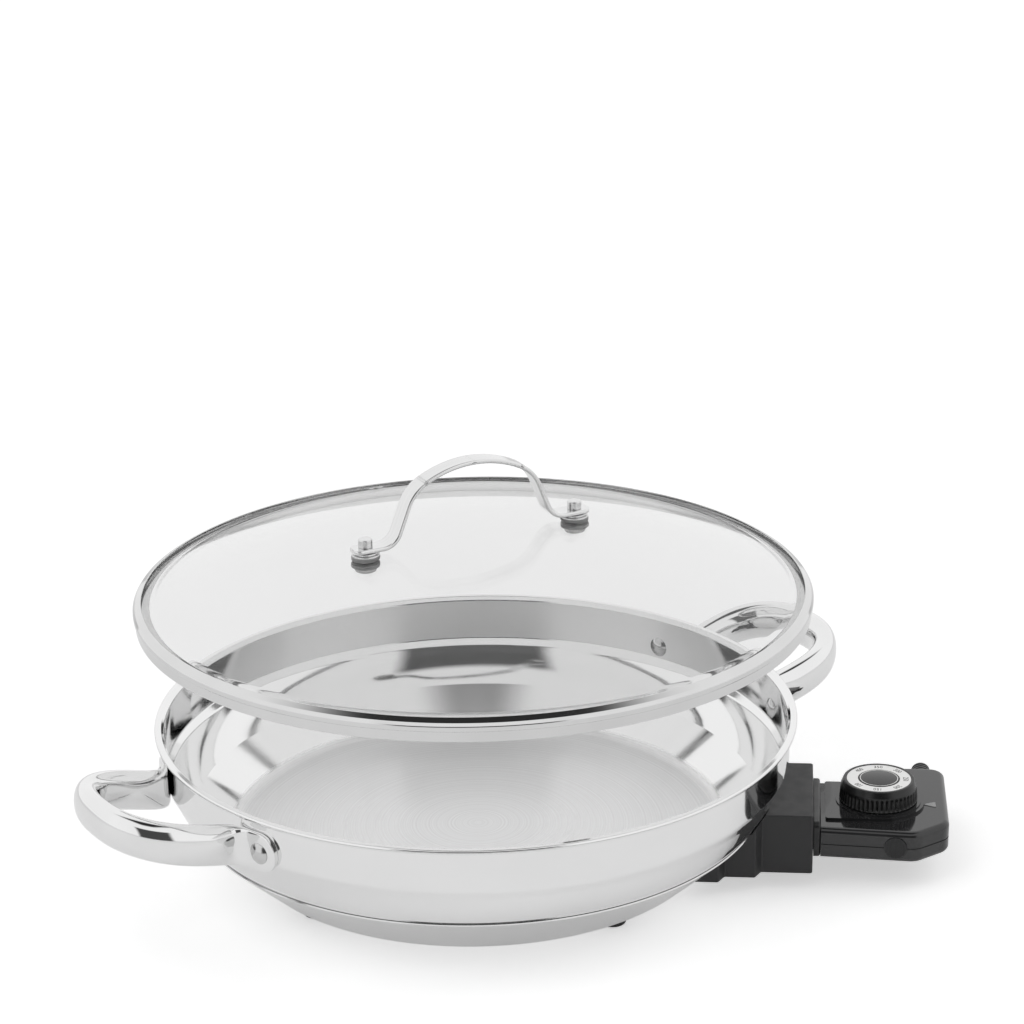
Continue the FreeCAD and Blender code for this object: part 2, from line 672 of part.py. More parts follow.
for side in (-1, 1):
    turn = side * RIVET_ANGLE
    handle = handle.cut(radial_rod(RIVET_SHANK_R + FIT, WALL_R - TUBE_W, PAD_OUT_R + TUBE_W, turn, RIVET_Z))
    handle = handle.cut(radial_rod(RIVET_HEAD_R + 0.4, PAD_OUT_R, PAD_OUT_R + TUBE_W, turn, RIVET_Z))
for half_turn in (0, 180):
    handles.append(around_z(handle, HANDLE_AZIMUTH + half_turn))
    for side in (-1, 1):
        turn = HANDLE_AZIMUTH + half_turn + side * RIVET_ANGLE
        copy = rivet.copy()
        copy.translate(V(0, 0, RIVET_Z))
        rivets.append(around_z(copy, turn))
        pan = pan.cut(radial_rod(RIVET_SHANK_R + FIT, WALL_R - 5, WALL_R + 2, turn, RIVET_Z))

# ---------- socket bracket ----------
half_y = [BRACKET_HALF_Y + BRACKET_STEP * i for i in range(3)]
bracket_half = [
    (BRACKET_FACE_X, half_y[0], 1.2),
    (BRACKET_MAIN_X, half_y[0], 1.2),
    (BRACKET_MAIN_X - BRACKET_SLANT, half_y[1], 1.2),
    (BRACKET_STEP_X, half_y[1], 1.2),
    (BRACKET_STEP_X - BRACKET_SLANT, half_y[2], 1.2),
    (BRACKET_TAIL_X, half_y[2], 1.2),
]
bracket = prism(bracket_half + [(x, -y, r) for x, y, r in bracket_half[::-1]], BRACKET_Z0, BRACKET_Z1)
rims = [e for e in bracket.Edges if e.BoundBox.ZLength < 1e-6]
bracket = bracket.makeFillet(0.7, rims)
bracket = bracket.cut(pan_hull(SEAT_GAP))
bracket = bracket.cut(block(BRACKET_TAIL_X - 5, PARTITION_X, -CAVITY_HALF_Y, CAVITY_HALF_Y,
                            BRACKET_Z0 + BRACKET_WALL, BRACKET_Z1 - BRACKET_WALL))
for side in (-1, 1):
    y = side * CONTACT_PITCH / 2
    room = ELEMENT_R + SEAT_GAP
    bracket = bracket.cut(block(BRACKET_TAIL_X - 5, STUD_X, y - room, y + room, ELEMENT_Z - room, PLUG_Z))
recess_y = NOSE_HALF_Y + NOSE_GAP
recess_z = NOSE_HALF_Z + NOSE_GAP
bracket = bracket.cut(block(PARTITION_X + PARTITION_T, BRACKET_FACE_X + 5, -recess_y, recess_y,
                            PLUG_Z - recess_z, PLUG_Z + recess_z))
bracket = bracket.cut(rod(WELL_R + FIT, V(PARTITION_X - 5, 0, PLUG_Z), V(PARTITION_X + 5, 0, PLUG_Z)))

pins, insulators = [], []
pin_x0 = ELEMENT_END_X + FIT
for side in (-1, 1):
    y = side * CONTACT_PITCH / 2
    pins.append(turned_x([
        (0, pin_x0, 0),
        (PIN_R, pin_x0, 0),
        (PIN_R, pin_x0 + PIN_LENGTH, 1.2),
        (0, pin_x0 + PIN_LENGTH, 0),
    ], y, PLUG_Z))
    insulators.append(turned_x([
        (PIN_R + FIT, pin_x0 + FIT, 0),
        (INSULATOR_R + 1.4, pin_x0 + FIT, 0.4),
        (INSULATOR_R + 1.4, PARTITION_X - FIT, 0),
        (INSULATOR_R, PARTITION_X - FIT, 0),
        (INSULATOR_R, PARTITION_X + PARTITION_T + 0.6, 0.4),
        (PIN_R + FIT, PARTITION_X + PARTITION_T + 0.6, 0),
    ], y, PLUG_Z))
    bracket = bracket.cut(rod(INSULATOR_R + FIT, V(PARTITION_X - 5, y, PLUG_Z), V(PARTITION_X + 5, y, PLUG_Z)))

well = turned_x([
    (0, BASE_R, 0),
    (WELL_R, BASE_R, 0),
    (WELL_R, PARTITION_X + PARTITION_T + 0.8, 0.5),
    (PROBE_R + RUN_FIT, PARTITION_X + PARTITION_T + 0.8, 0.4),
    (PROBE_R + RUN_FIT, PROBE_TIP_X - 0.5, 0),
    (0, PROBE_TIP_X - 0.5, 0),
], 0, PLUG_Z).cut(pan_hull(FIT))

studs, bracket_screws = [], []
sink_z = STUD_Z - SCREW_SINK
for side in (-1, 1):
    y = side * STUD_Y
    stud = rod(STUD_R, V(STUD_X, y, STUD_Z), V(STUD_X, y, BRACKET_Z1)).cut(pan_hull(FIT))
    stud = stud.cut(rod(SCREW_R + FIT, V(STUD_X, y, STUD_Z), V(STUD_X, y, STUD_Z + SCREW_REACH + 0.4)))
    studs.append(max(stud.Solids, key=lambda solid: -solid.CenterOfMass.z))
    head = rod(SCREW_HEAD_R, V(STUD_X, y, sink_z - SCREW_HEAD_T), V(STUD_X, y, sink_z))
    shank = rod(SCREW_R, V(STUD_X, y, sink_z), V(STUD_X, y, STUD_Z + SCREW_REACH))
    slot = block(STUD_X - 4, STUD_X + 4, y - 0.5, y + 0.5, sink_z - SCREW_HEAD_T, sink_z - 1.3)
    bracket_screws.append(head.fuse(shank).cut(slot))
    bracket = bracket.cut(rod(STUD_R + 0.1, V(STUD_X, y, STUD_Z - FIT), V(STUD_X, y, BRACKET_Z1)))
    bracket = bracket.cut(rod(SCREW_R + 0.2, V(STUD_X, y, BRACKET_Z0), V(STUD_X, y, STUD_Z + 1)))
    bracket = bracket.cut(rod(SCREW_HEAD_R + 0.4, V(STUD_X, y, BRACKET_Z0 - 1), V(STUD_X, y, sink_z + FIT)))
bracket = max(bracket.Solids, key=lambda solid: solid.Volume)

# ---------- plug: collar, contact sleeves, probe ----------
def x_prism(half_y, half_z, radius, x0, x1):
    """Bar along X with a rounded rectangular section on the plug's axis."""
    corners = [(-half_z, -half_y), (half_z, -half_y), (half_z, half_y), (-half_z, half_y)]
    bar = prism([(u, v, radius) for u, v in corners], x0, x1)
    bar.rotate(V(0, 0, 0), V(0, 1, 0), 90)
    bar.translate(V(0, 0, PLUG_Z))
    return bar


SLEEVE_R = PIN_R + RUN_FIT + SLEEVE_T
SLEEVE_END_X = BODY_X0 + 8.0
flange_end_x = FLANGE_X + FLANGE_T
collar = x_prism(NOSE_HALF_Y, NOSE_HALF_Z, 3.0, FLANGE_X - NOSE_LENGTH, FLANGE_X)
flange = block(FLANGE_X, flange_end_x, -BODY_NARROW_Y, BODY_NARROW_Y, BODY_Z0, BODY_Z1 + FLANGE_RISE)
flange = flange.makeFillet(BODY_EDGE_R, [e for e in flange.Edges if e.BoundBox.XLength > FLANGE_T / 2])
flange_rim = [e for e in flange.Edges if e.BoundBox.XMin > flange_end_x - 1e-6 and e.BoundBox.ZMax > PLUG_Z]
collar = collar.fuse(flange.makeFillet(FLANGE_EDGE_R, flange_rim))
collar = collar.fuse(x_prism(SPIGOT_HALF_Y, SPIGOT_HALF_Z, 2.0, flange_end_x, BODY_X0 + SPIGOT_LENGTH))
collar = collar.removeSplitter()
plug_x = (FLANGE_X - NOSE_LENGTH - 1, SLEEVE_END_X)
collar = collar.cut(rod(PROBE_R + FIT, V(plug_x[0], 0, PLUG_Z), V(plug_x[1], 0, PLUG_Z)))
sleeves = []
for side in (-1, 1):
    y = side * CONTACT_PITCH / 2
    collar = collar.cut(rod(SLEEVE_R + FIT, V(plug_x[0], y, PLUG_Z), V(plug_x[1], y, PLUG_Z)))
    sleeve_x0 = FLANGE_X - NOSE_LENGTH + 2.0
    sleeve = rod(SLEEVE_R, V(sleeve_x0, y, PLUG_Z), V(SLEEVE_END_X, y, PLUG_Z))
    bore_end = pin_x0 + PIN_LENGTH + 2.0
    sleeves.append(sleeve.cut(rod(PIN_R + RUN_FIT, V(sleeve_x0, y, PLUG_Z), V(bore_end, y, PLUG_Z))))
thermostat_x0 = SLEEVE_END_X + 1.0
probe = turned_x([
    (0, PROBE_TIP_X, 0),
    (PROBE_R, PROBE_TIP_X, 1.6),
    (PROBE_R, thermostat_x0 - FIT, 0),
    (0, thermostat_x0 - FIT, 0),
], 0, PLUG_Z)

# ---------- control housing ----------
# The outline runs past the flange and is cut square, so the rounded edges end at the flange.
RUN_OUT = 10.0
outline = [
    (BODY_X0 - RUN_OUT, -BODY_NARROW_Y + 0.7, 0),
    (BODY_NOSE_X, BODY_NOSE_Y, 9.0),
    (BODY_END_X, BODY_CUT_Y, 9.0),
    (BODY_END_X, BODY_WIDE_Y, 7.0),
    (BODY_STEP_X + BODY_STEP_RUN, BODY_WIDE_Y, BODY_STEP_R),
    (BODY_STEP_X, BODY_NARROW_Y + 0.5, BODY_STEP_R),
    (BODY_X0 - RUN_OUT, BODY_NARROW_Y, 0),
]
WIDE = 2 * BODY_WIDE_Y
run_off = block(BODY_X0 - WIDE, BODY_X0, -WIDE, WIDE, 0, WIDE)
shell = prism(outline, BODY_Z0, BODY_Z1)
long_rims = [e for e in shell.Edges if e.BoundBox.ZLength < 1e-6 and e.BoundBox.XLength > 1e-6]
shell = shell.makeFillet(BODY_EDGE_R, long_rims).cut(run_off)
cavity = prism(offset_loop(outline, BODY_WALL), BODY_Z0 + BODY_WALL, BODY_Z1 - BODY_WALL)
cavity = cavity.cut(block(BODY_X0 - WIDE, BODY_X0 + BODY_WALL, -WIDE, WIDE, 0, WIDE))
window = x_prism(SPIGOT_HALF_Y + FIT, SPIGOT_HALF_Z + FIT, 2.0, BODY_X0 - 1, BODY_X0 + 3)
shell = shell.cut(cavity).cut(window)
housing_screws = ((SCREW_REAR_X, -SCREW_REAR_Y), (SCREW_REAR_X, SCREW_REAR_Y), (SCREW_END_X, SCREW_END_Y))
bosses = [rod(BOSS_R, V(x, y, BODY_Z0 + 1), V(x, y, BODY_Z1 - 1)) for x, y in housing_screws]
shell = shell.fuse(bosses)

plateau = prism([
    (BODY_X0 + BODY_WALL, KNOB_Y - PLATEAU_R, 1.5),
    (KNOB_X, KNOB_Y - PLATEAU_R, 0),
    (KNOB_X, KNOB_Y + PLATEAU_R - 3, 0),
    (BODY_X0 + BODY_WALL, KNOB_Y + PLATEAU_R - 3, 1.5),
], BODY_Z1 - 1, BODY_Z1 + PLATEAU_T)
knob_axis = V(KNOB_X, KNOB_Y, 0)
ring_top_z = BODY_Z1 + PLATEAU_T + COLLAR_RING_T
plateau = plateau.fuse(rod(PLATEAU_R, knob_axis + V(0, 0, BODY_Z1 - 1), knob_axis + V(0, 0, BODY_Z1 + PLATEAU_T)))
plateau = plateau.fuse(rod(COLLAR_RING_R, knob_axis + V(0, 0, BODY_Z1), knob_axis + V(0, 0, ring_top_z)))
shell = shell.fuse(plateau)
shell = shell.cut(rod(SHAFT_R + 0.4, knob_axis + V(0, 0, PLUG_Z), knob_axis + V(0, 0, ring_top_z + 1)))

# Grip disc on the front face, sunk half its thickness, with raised bars.
front_slant = math.degrees(math.atan2(BODY_NOSE_Y - outline[0][1], BODY_NOSE_X - outline[0][0]))
grip_y = outline[0][1] + (GRIP_X - outline[0][0]) * math.tan(math.radians(front_slant))
grip = rod(GRIP_R, V(0, GRIP_T / 2, 0), V(0, -GRIP_T / 2, 0))
grip_seat = rod(GRIP_R + FIT, V(0, GRIP_T / 2 + FIT, 0), V(0, -GRIP_T, 0))
for i in range(-2, 3):
    x = i * GRIP_R * 0.36
    grip = grip.cut(block(x - 0.4, x + 0.4, -GRIP_T, -GRIP_T / 2 + 0.4, -GRIP_R, GRIP_R))
for piece in (grip, grip_seat):
    piece.rotate(V(0, 0, 0), V(0, 0, 1), front_slant)
    piece.translate(V(GRIP_X, grip_y, PLUG_Z))
shell = shell.cut(grip_seat)

# Cord gland: clipped through the back wall, open for a cord.
gland_y = [BODY_WIDE_Y - BODY_WALL - FIT, BODY_WIDE_Y + FIT, BODY_WIDE_Y + GLAND_LENGTH]
gland = rod(GLAND_R - 0.2, V(GLAND_X, gland_y[0] - 1.4, PLUG_Z), V(GLAND_X, gland_y[0], PLUG_Z))
gland = gland.fuse(rod(GLAND_WAIST_R, V(GLAND_X, gland_y[0], PLUG_Z), V(GLAND_X, gland_y[1], PLUG_Z)))
tail = Part.makeCone(GLAND_R, GLAND_WAIST_R, gland_y[2] - gland_y[1], V(GLAND_X, gland_y[1], PLUG_Z), V(0, 1, 0))
for i in range(4):
    y = gland_y[1] + 2.2 + 2.6 * i
    groove_ring = rod(GLAND_R + 1, V(GLAND_X, y, PLUG_Z), V(GLAND_X, y + 1.2, PLUG_Z))
    tail = tail.cut(groove_ring.cut(rod(GLAND_WAIST_R - 0.5, V(GLAND_X, y - 1, PLUG_Z), V(GLAND_X, y + 3, PLUG_Z))))
gland = gland.fuse(tail)
gland = gland.cut(rod(GLAND_BORE_R, V(GLAND_X, gland_y[0] - 5, PLUG_Z), V(GLAND_X, gland_y[2] + 5, PLUG_Z)))
shell = shell.cut(rod(GLAND_WAIST_R + FIT, V(GLAND_X, gland_y[0] - 5, PLUG_Z), V(GLAND_X, gland_y[2], PLUG_Z)))

# Pointer mark, set into the top.
mark = [(POINTER_X, POINTER_Y, 0.3), (POINTER_X + POINTER_LENGTH, POINTER_Y - POINTER_WIDTH / 2, 0.4),
        (POINTER_X + POINTER_LENGTH, POINTER_Y + POINTER_WIDTH / 2, 0.4)]
pointer = prism(mark, BODY_Z1 - POINTER_T / 2, BODY_Z1 + POINTER_T / 2)
shell = shell.cut(prism(offset_loop(mark, -FIT), BODY_Z1 - POINTER_T / 2 - FIT, BODY_Z1 + 1))

# The two halves, with a shadow groove along the parting line.
above = block(BODY_X0 - WIDE, BODY_X0 + WIDE, -WIDE, WIDE, PLUG_Z + FIT / 2, WIDE)
below = block(BODY_X0 - WIDE, BODY_X0 + WIDE, -WIDE, WIDE, 0, PLUG_Z - FIT / 2)
groove_band = prism(offset_loop(outline, -1.0), PLUG_Z - 0.5, PLUG_Z).cut(
    prism(offset_loop(outline, 0.4), PLUG_Z - 1, PLUG_Z + 1))
upper = shell.common(above)
lower = shell.common(below).cut(groove_band)
screw_sink_z = BODY_Z0 + 2.8
control_screws = []
for x, y in housing_screws:
    lower = lower.cut(rod(3.1, V(x, y, 0), V(x, y, screw_sink_z + FIT)))
    lower = lower.cut(rod(1.65, V(x, y, 0), V(x, y, PLUG_Z + 1)))
    upper = upper.cut(rod(1.55, V(x, y, PLUG_Z - 1), V(x, y, BODY_Z1 - BODY_WALL - 0.3)))
    head = rod(2.9, V(x, y, screw_sink_z - 2.0), V(x, y, screw_sink_z))
    shank = rod(1.5, V(x, y, screw_sink_z), V(x, y, BODY_Z1 - BODY_WALL - 0.6))
    cross = block(x - 2, x + 2, y - 0.4, y + 0.4, 0, screw_sink_z - 1.1)
    cross = cross.fuse(block(x - 0.4, x + 0.4, y - 2, y + 2, 0, screw_sink_z - 1.1))
    control_screws.append(head.fuse(shank).cut(cross))

# Thermostat block with a bush for the knob's shaft.
inner_z0 = BODY_Z0 + BODY_WALL + FIT
bush_top_z = BODY_Z1 - BODY_WALL - 0.4
thermostat_y = SCREW_REAR_Y - BOSS_R - 1.5
thermostat = block(thermostat_x0, KNOB_X + KNOB_HUB_R + 3.5, -thermostat_y, thermostat_y, inner_z0, PLUG_Z + 2)
thermostat = thermostat.fuse(rod(5.5, knob_axis + V(0, 0, inner_z0), knob_axis + V(0, 0, bush_top_z)))
shaft_z0 = inner_z0 + 3.0
thermostat = thermostat.cut(
    rod(SHAFT_R + RUN_FIT, knob_axis + V(0, 0, shaft_z0 - SEAT_GAP), knob_axis + V(0, 0, BODY_Z1)))

# ---------- knob ----------
knob_z0 = ring_top_z + KNOB_LIFT
knob_z1 = knob_z0 + KNOB_H
dial_z = knob_z1 - DIAL_SINK
hollow_z = dial_z - 3.0
knob = turned([
    (KNOB_R - KNOB_WALL, knob_z0, 0.3),
    (KNOB_R, knob_z0, 0.4),
    (KNOB_SKIRT_R, knob_z0 + KNOB_SKIRT_H, 0.6),
    (KNOB_TOP_R, knob_z1, 0.7),
    (DIAL_OUT_R + 0.1, knob_z1, 0),
    (DIAL_OUT_R + 0.1, dial_z, 0),
    (0, dial_z, 0),
    (0, hollow_z - 4.5, 0),
    (KNOB_HUB_R, hollow_z - 4.5, 0.4),
    (KNOB_HUB_R, hollow_z, 0.6),
    (KNOB_R - KNOB_WALL, hollow_z, 1.5),
])
flutes = []
for i in range(FLUTE_COUNT):
    angle = 2 * math.pi * i / FLUTE_COUNT
    spot = V(KNOB_R * math.cos(angle), KNOB_R * math.sin(angle), 0)
    flutes.append(rod(FLUTE_R, spot + V(0, 0, knob_z0 + 1.2), spot + V(0, 0, knob_z1)))
knob = knob.cut(Part.makeCompound(flutes))
shaft_top_z = hollow_z + 1.5
knob = knob.cut(rod(SHAFT_R + FIT, V(0, 0, 0), V(0, 0, shaft_top_z + FIT)))
shaft = rod(SHAFT_R, V(0, 0, shaft_z0), V(0, 0, shaft_top_z))
dial = turned([
    (DIAL_IN_R, dial_z + FIT, 0),
    (DIAL_OUT_R, dial_z + FIT, 0),
    (DIAL_OUT_R, dial_z + FIT + DIAL_T, 0.15),
    (DIAL_IN_R, dial_z + FIT + DIAL_T, 0.15),
])
cap_edge_z = dial_z + FIT + DIAL_T
cap_r = (CAP_R ** 2 + CAP_DOME ** 2) / (2 * CAP_DOME)
cap = rod(CAP_R, V(0, 0, dial_z + FIT), V(0, 0, cap_edge_z + CAP_DOME)).common(
    Part.makeSphere(cap_r, V(0, 0, cap_edge_z + CAP_DOME - cap_r)))
for piece in (knob, shaft, dial, cap):
    piece.translate(knob_axis)

# ---------- lid ----------
SHELF_Z = SEAT_Z + RING_T
lid_rim = turned([
    (RING_IN_R, SEAT_Z + RING_H, 0.3),
    (RING_IN_R, SEAT_Z + RING_H - RING_T - 0.1, 0.3),
    (GLASS_EDGE_R + 0.3, SEAT_Z + RING_H - RING_T - 0.1, 1.2),
    (GLASS_EDGE_R + 0.3, SHELF_Z, 0.8),
    (SEAT_IN_R, SHELF_Z, 0.3),
    (SEAT_IN_R, SEAT_Z, 0.3),
    (SKIRT_R - SKIRT_T, SEAT_Z, 0.5),
    (SKIRT_R - SKIRT_T + 0.4, SEAT_Z - SKIRT_H, 0.4),
    (SKIRT_R + 0.4, SEAT_Z - SKIRT_H, 0.4),
    (SKIRT_R, SEAT_Z, 0.2),
    (RING_R, SEAT_Z, 0.95),
    (RING_R, SEAT_Z + RING_H, RING_EDGE_R),
])

# The dome is one corner of radius DOME_R between a level line at the apex and the edge's slope.
slope = math.radians(DOME_SLOPE)
dome_turn_r = DOME_R * math.tan(slope / 2)
glass_z1 = SHELF_Z + FIT + GLASS_T
APEX_Z = glass_z1 + (SEAT_IN_R - dome_turn_r) * math.tan(slope)
glass_top = [(0, APEX_Z), (dome_turn_r, APEX_Z), (SEAT_IN_R, glass_z1), (GLASS_EDGE_R, glass_z1)]
glass_low = offset_path(glass_top, -GLASS_T)
glass = turned([
    (0, APEX_Z, 0),
    (dome_turn_r, APEX_Z, DOME_R * 0.999),
    (SEAT_IN_R, glass_z1, DOME_FOOT_R),
    (GLASS_EDGE_R, glass_z1, 1.6),
    (GLASS_EDGE_R, glass_z1 - GLASS_T, 1.6),
    (glass_low[2][0], glass_low[2][1], DOME_FOOT_R + GLASS_T),
    (glass_low[1][0], glass_low[1][1], (DOME_R - GLASS_T) * 0.999),
    (0, glass_low[0][1], 0),
])


def dome_z(radius, depth=0.0):
    """Height of the dome's face at a radius, depth below the outer face."""
    sphere = DOME_R - depth
    return APEX_Z - DOME_R + math.sqrt(sphere ** 2 - radius ** 2)


# Steam vent: an eyelet square to the dome.
vent_lean = math.degrees(math.asin(VENT_R / DOME_R))
vent = turned([
    (VENT_BORE_R, VENT_FLANGE_T + FIT, 0.2),
    (VENT_BORE_R, -GLASS_T - 0.6 - FIT, 0),
    (VENT_FLANGE_R - 0.4, -GLASS_T - 0.6 - FIT, 0.2),
    (VENT_FLANGE_R - 0.4, -GLASS_T - FIT, 0),
    (VENT_TUBE_R, -GLASS_T - FIT, 0),
    (VENT_TUBE_R, FIT, 0),
    (VENT_FLANGE_R, FIT, 0),
    (VENT_FLANGE_R, VENT_FLANGE_T + FIT, 0.3),
])
vent_hole = rod(VENT_TUBE_R + FIT, V(0, 0, -2 * GLASS_T), V(0, 0, GLASS_T))
for piece in (vent, vent_hole):
    piece.rotate(V(0, 0, 0), V(0, 1, 0), vent_lean)
    piece.translate(V(VENT_R, 0, dome_z(VENT_R)))
    piece.rotate(V(0, 0, 0), V(0, 0, 1), VENT_AZIMUTH)
glass = glass.cut(vent_hole)

# Strap handle: one bent band, drawn as the path of its middle line.
heading = 0.0
spot = (0.0, APEX_Z + STRAP_HEIGHT)
half_strap = []
for angle, radius in ((STRAP_CROWN_DROP, STRAP_CROWN_R), (STRAP_LEG_DROP, STRAP_SHOULDER_R)):
    reach = radius * math.tan(math.radians(angle - heading) / 2)
    corner = (spot[0] + reach * math.cos(math.radians(heading)), spot[1] - reach * math.sin(math.radians(heading)))
    half_strap.append((corner[0], corner[1], radius))
    heading = angle
    spot = (corner[0] + reach * math.cos(math.radians(heading)), corner[1] - reach * math.sin(math.radians(heading)))
reach = STRAP_HEEL_R * math.tan(math.radians(heading) / 2)
leg = STRAP_LEG + reach
heel = (spot[0] + leg * math.cos(math.radians(heading)), spot[1] - leg * math.sin(math.radians(heading)))
half_strap.append((heel[0], heel[1], STRAP_HEEL_R))
half_strap.append((heel[0] + reach + STRAP_FOOT, heel[1], 0))
strap_path = [(-x, z, r) for x, z, r in half_strap[::-1]] + half_strap
strap = Part.Face(rounded_wire(strip(strap_path, STRAP_T))).extrude(V(0, STRAP_W, 0))
strap.translate(V(0, -STRAP_W / 2, 0))
foot_end = half_strap[-1][0]
FOOT_Z = half_strap[-1][1]
corner_r = STRAP_W * 0.3
foot_corners = [e for e in strap.Edges if e.BoundBox.ZLength > STRAP_T * 0.9 and e.BoundBox.XLength < 1e-6
                and abs(abs(e.BoundBox.XMax) - foot_end) < 1e-3 and e.BoundBox.YLength < 1e-6]
strap = strap.makeFillet(corner_r, foot_corners)
strap = strap.makeFillet(STRAP_EDGE_R, [e for e in strap.Edges if abs(e.BoundBox.YLength) < 1e-6
                               and abs(abs(e.BoundBox.YMin) - STRAP_W / 2) < 1e-6])

bolts, nuts, washers, gaskets = [], [], [], []
glass_top_z = dome_z(BOLT_CIRCLE_R)
glass_low_z = dome_z(BOLT_CIRCLE_R, GLASS_T)
foot_low_z = FOOT_Z - STRAP_T / 2
foot_top_z = FOOT_Z + STRAP_T / 2
washer_z = [foot_low_z - FIT - WASHER_T, foot_low_z - 2 * (FIT + WASHER_T)]
dome_ball = Part.makeSphere(DOME_R + FIT, V(0, 0, APEX_Z - DOME_R))
inner_ball = Part.makeSphere(DOME_R - GLASS_T - FIT, V(0, 0, APEX_Z - DOME_R))


def tube(outer, inner, x, z0, z1):
    """Upright ring at a distance along X."""
    ring = rod(outer, V(x, 0, z0), V(x, 0, z1))
    return ring.cut(rod(inner, V(x, 0, z0 - 1), V(x, 0, z1 + 1)))


head_z = glass_low_z - GASKET_T - 2 * FIT
for side in (-1, 1):
    x = side * BOLT_CIRCLE_R
    washers.append(tube(WASHER_TOP_R, BOLT_R + FIT, x, washer_z[0], washer_z[0] + WASHER_T))
    washers.append(tube(WASHER_R, BOLT_R + FIT, x, washer_z[1], washer_z[1] + WASHER_T))
    gaskets.append(tube(GASKET_R, BOLT_R + FIT, x, glass_top_z - 2, washer_z[1] - FIT).cut(dome_ball))
    gaskets.append(tube(GASKET_R, BOLT_R + FIT, x, head_z + FIT, glass_low_z + 2).common(inner_ball))
    bolt = rod(BOLT_R, V(x, 0, head_z - 0.5), V(x, 0, foot_top_z + NUT_H * 0.6))
    bolts.append(bolt.fuse(rod(BOLT_HEAD_R, V(x, 0, head_z - BOLT_HEAD_T), V(x, 0, head_z))).cut(
        block(x - 6, x + 6, -0.6, 0.6, head_z - BOLT_HEAD_T - 1, head_z - BOLT_HEAD_T + 1.1)))
    nut = rod(NUT_R, V(x, 0, foot_top_z + FIT), V(x, 0, foot_top_z + FIT + NUT_H))
    nut = nut.makeFillet(0.6, [e for e in nut.Edges if e.BoundBox.ZMin > foot_top_z + NUT_H / 2])
    nuts.append(nut.cut(rod(BOLT_R + 0.02, V(x, 0, foot_top_z - 1), V(x, 0, foot_top_z + NUT_H * 0.65))))
    strap = strap.cut(rod(BOLT_R + FIT, V(x, 0, foot_low_z - 1), V(x, 0, foot_top_z + 1)))
    glass = glass.cut(around_z(rod(GLASS_HOLE_R, V(x, 0, SEAT_Z), V(x, 0, APEX_Z + 5)), STRAP_AZIMUTH))

# ---------- nodes ----------
nodes = {
    "pan_body": pan,
    "base_cover": cover,
    "heat_spreader": spreader,
    "heating_element": element,
    "element_pins": group(pins),
    "pin_insulators": group(insulators),
    "probe_well": well,
    "weld_studs": group(studs),
    "socket_bracket": bracket,
    "bracket_screws": group(bracket_screws),
    "feet": group(feet),
    "foot_screws": group(foot_screws),
    "right_handle": handles[0],
    "left_handle": handles[1],
    "handle_rivets": group(rivets),
    "lid_glass": glass,
    "lid_rim": lid_rim,
    "steam_vent": vent,
    "lid_handle": around_z(strap, STRAP_AZIMUTH),
    "lid_bolts": around_z(group(bolts), STRAP_AZIMUTH),
    "lid_nuts": around_z(group(nuts), STRAP_AZIMUTH),
    "lid_washers": around_z(group(washers), STRAP_AZIMUTH),
    "glass_gaskets": around_z(group(gaskets), STRAP_AZIMUTH),
    "control_upper": upper,
    "control_lower": lower,
    "control_collar": collar,
    "control_screws": group(control_screws),
    "contact_sleeves": group(sleeves),
    "probe_rod": probe,
    "thermostat": thermostat,
    "cord_gland": gland,
    "grip_pad": grip,
    "pointer_mark": pointer,
    "knob_body": knob,
    "knob_shaft": shaft,
    "dial_ring": dial,
    "knob_cap": cap,
}

# Move everything so that the origin is the bottom centre of the whole box.
boxes = [shape.optimalBoundingBox(False, False) for shape in nodes.values()]
shift = V(
    -(min(box.XMin for box in boxes) + max(box.XMax for box in boxes)) / 2,
    -(min(box.YMin for box in boxes) + max(box.YMax for box in boxes)) / 2,
    -min(box.ZMin for box in boxes),
)
print("shift", shift, "top", max(box.ZMax for box in boxes))

os.makedirs("parts", exist_ok=True)
for name, shape in nodes.items():
    shape.translate(shift)
    print(name, shape.isValid(), len(shape.Solids), round(shape.Volume / 1000, 3))
    shape.exportStep("parts/" + name + ".step")
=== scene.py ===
"""Looks of an electric skillet: steel pan, glass lid, loop handles and a plug-in control.

Lengths are millimetres in the sizes and metres in the meshes. The pan's axis is the axis of every
round piece, and the frame's own boxes say where that axis stands.
"""

import logging
import math
from dataclasses import dataclass, field
from enum import Enum
from typing import Any, Mapping, Optional, Sequence

import bmesh
import bpy
import numpy as np
from mathutils import Matrix, Vector


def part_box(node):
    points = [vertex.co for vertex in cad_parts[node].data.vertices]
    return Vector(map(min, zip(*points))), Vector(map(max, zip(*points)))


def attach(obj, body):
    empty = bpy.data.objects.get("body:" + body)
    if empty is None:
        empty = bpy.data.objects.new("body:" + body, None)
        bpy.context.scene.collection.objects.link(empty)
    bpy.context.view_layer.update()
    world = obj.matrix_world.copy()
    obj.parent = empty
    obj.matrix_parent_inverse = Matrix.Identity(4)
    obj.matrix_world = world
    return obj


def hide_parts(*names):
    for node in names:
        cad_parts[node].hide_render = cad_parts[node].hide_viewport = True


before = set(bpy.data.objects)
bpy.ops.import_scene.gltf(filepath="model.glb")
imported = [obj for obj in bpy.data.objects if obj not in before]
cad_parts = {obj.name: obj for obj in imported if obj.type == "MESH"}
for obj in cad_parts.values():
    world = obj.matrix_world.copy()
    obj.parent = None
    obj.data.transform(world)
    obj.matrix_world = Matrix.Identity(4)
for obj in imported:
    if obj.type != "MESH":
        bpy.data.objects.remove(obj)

logging.basicConfig(level=logging.INFO, format="%(name)s: %(message)s")
log = logging.getLogger("skillet")

MM = 0.001
TURN = 2.0 * math.pi
MERGE = 2e-6  # points closer than this many metres are one
Array = np.ndarray


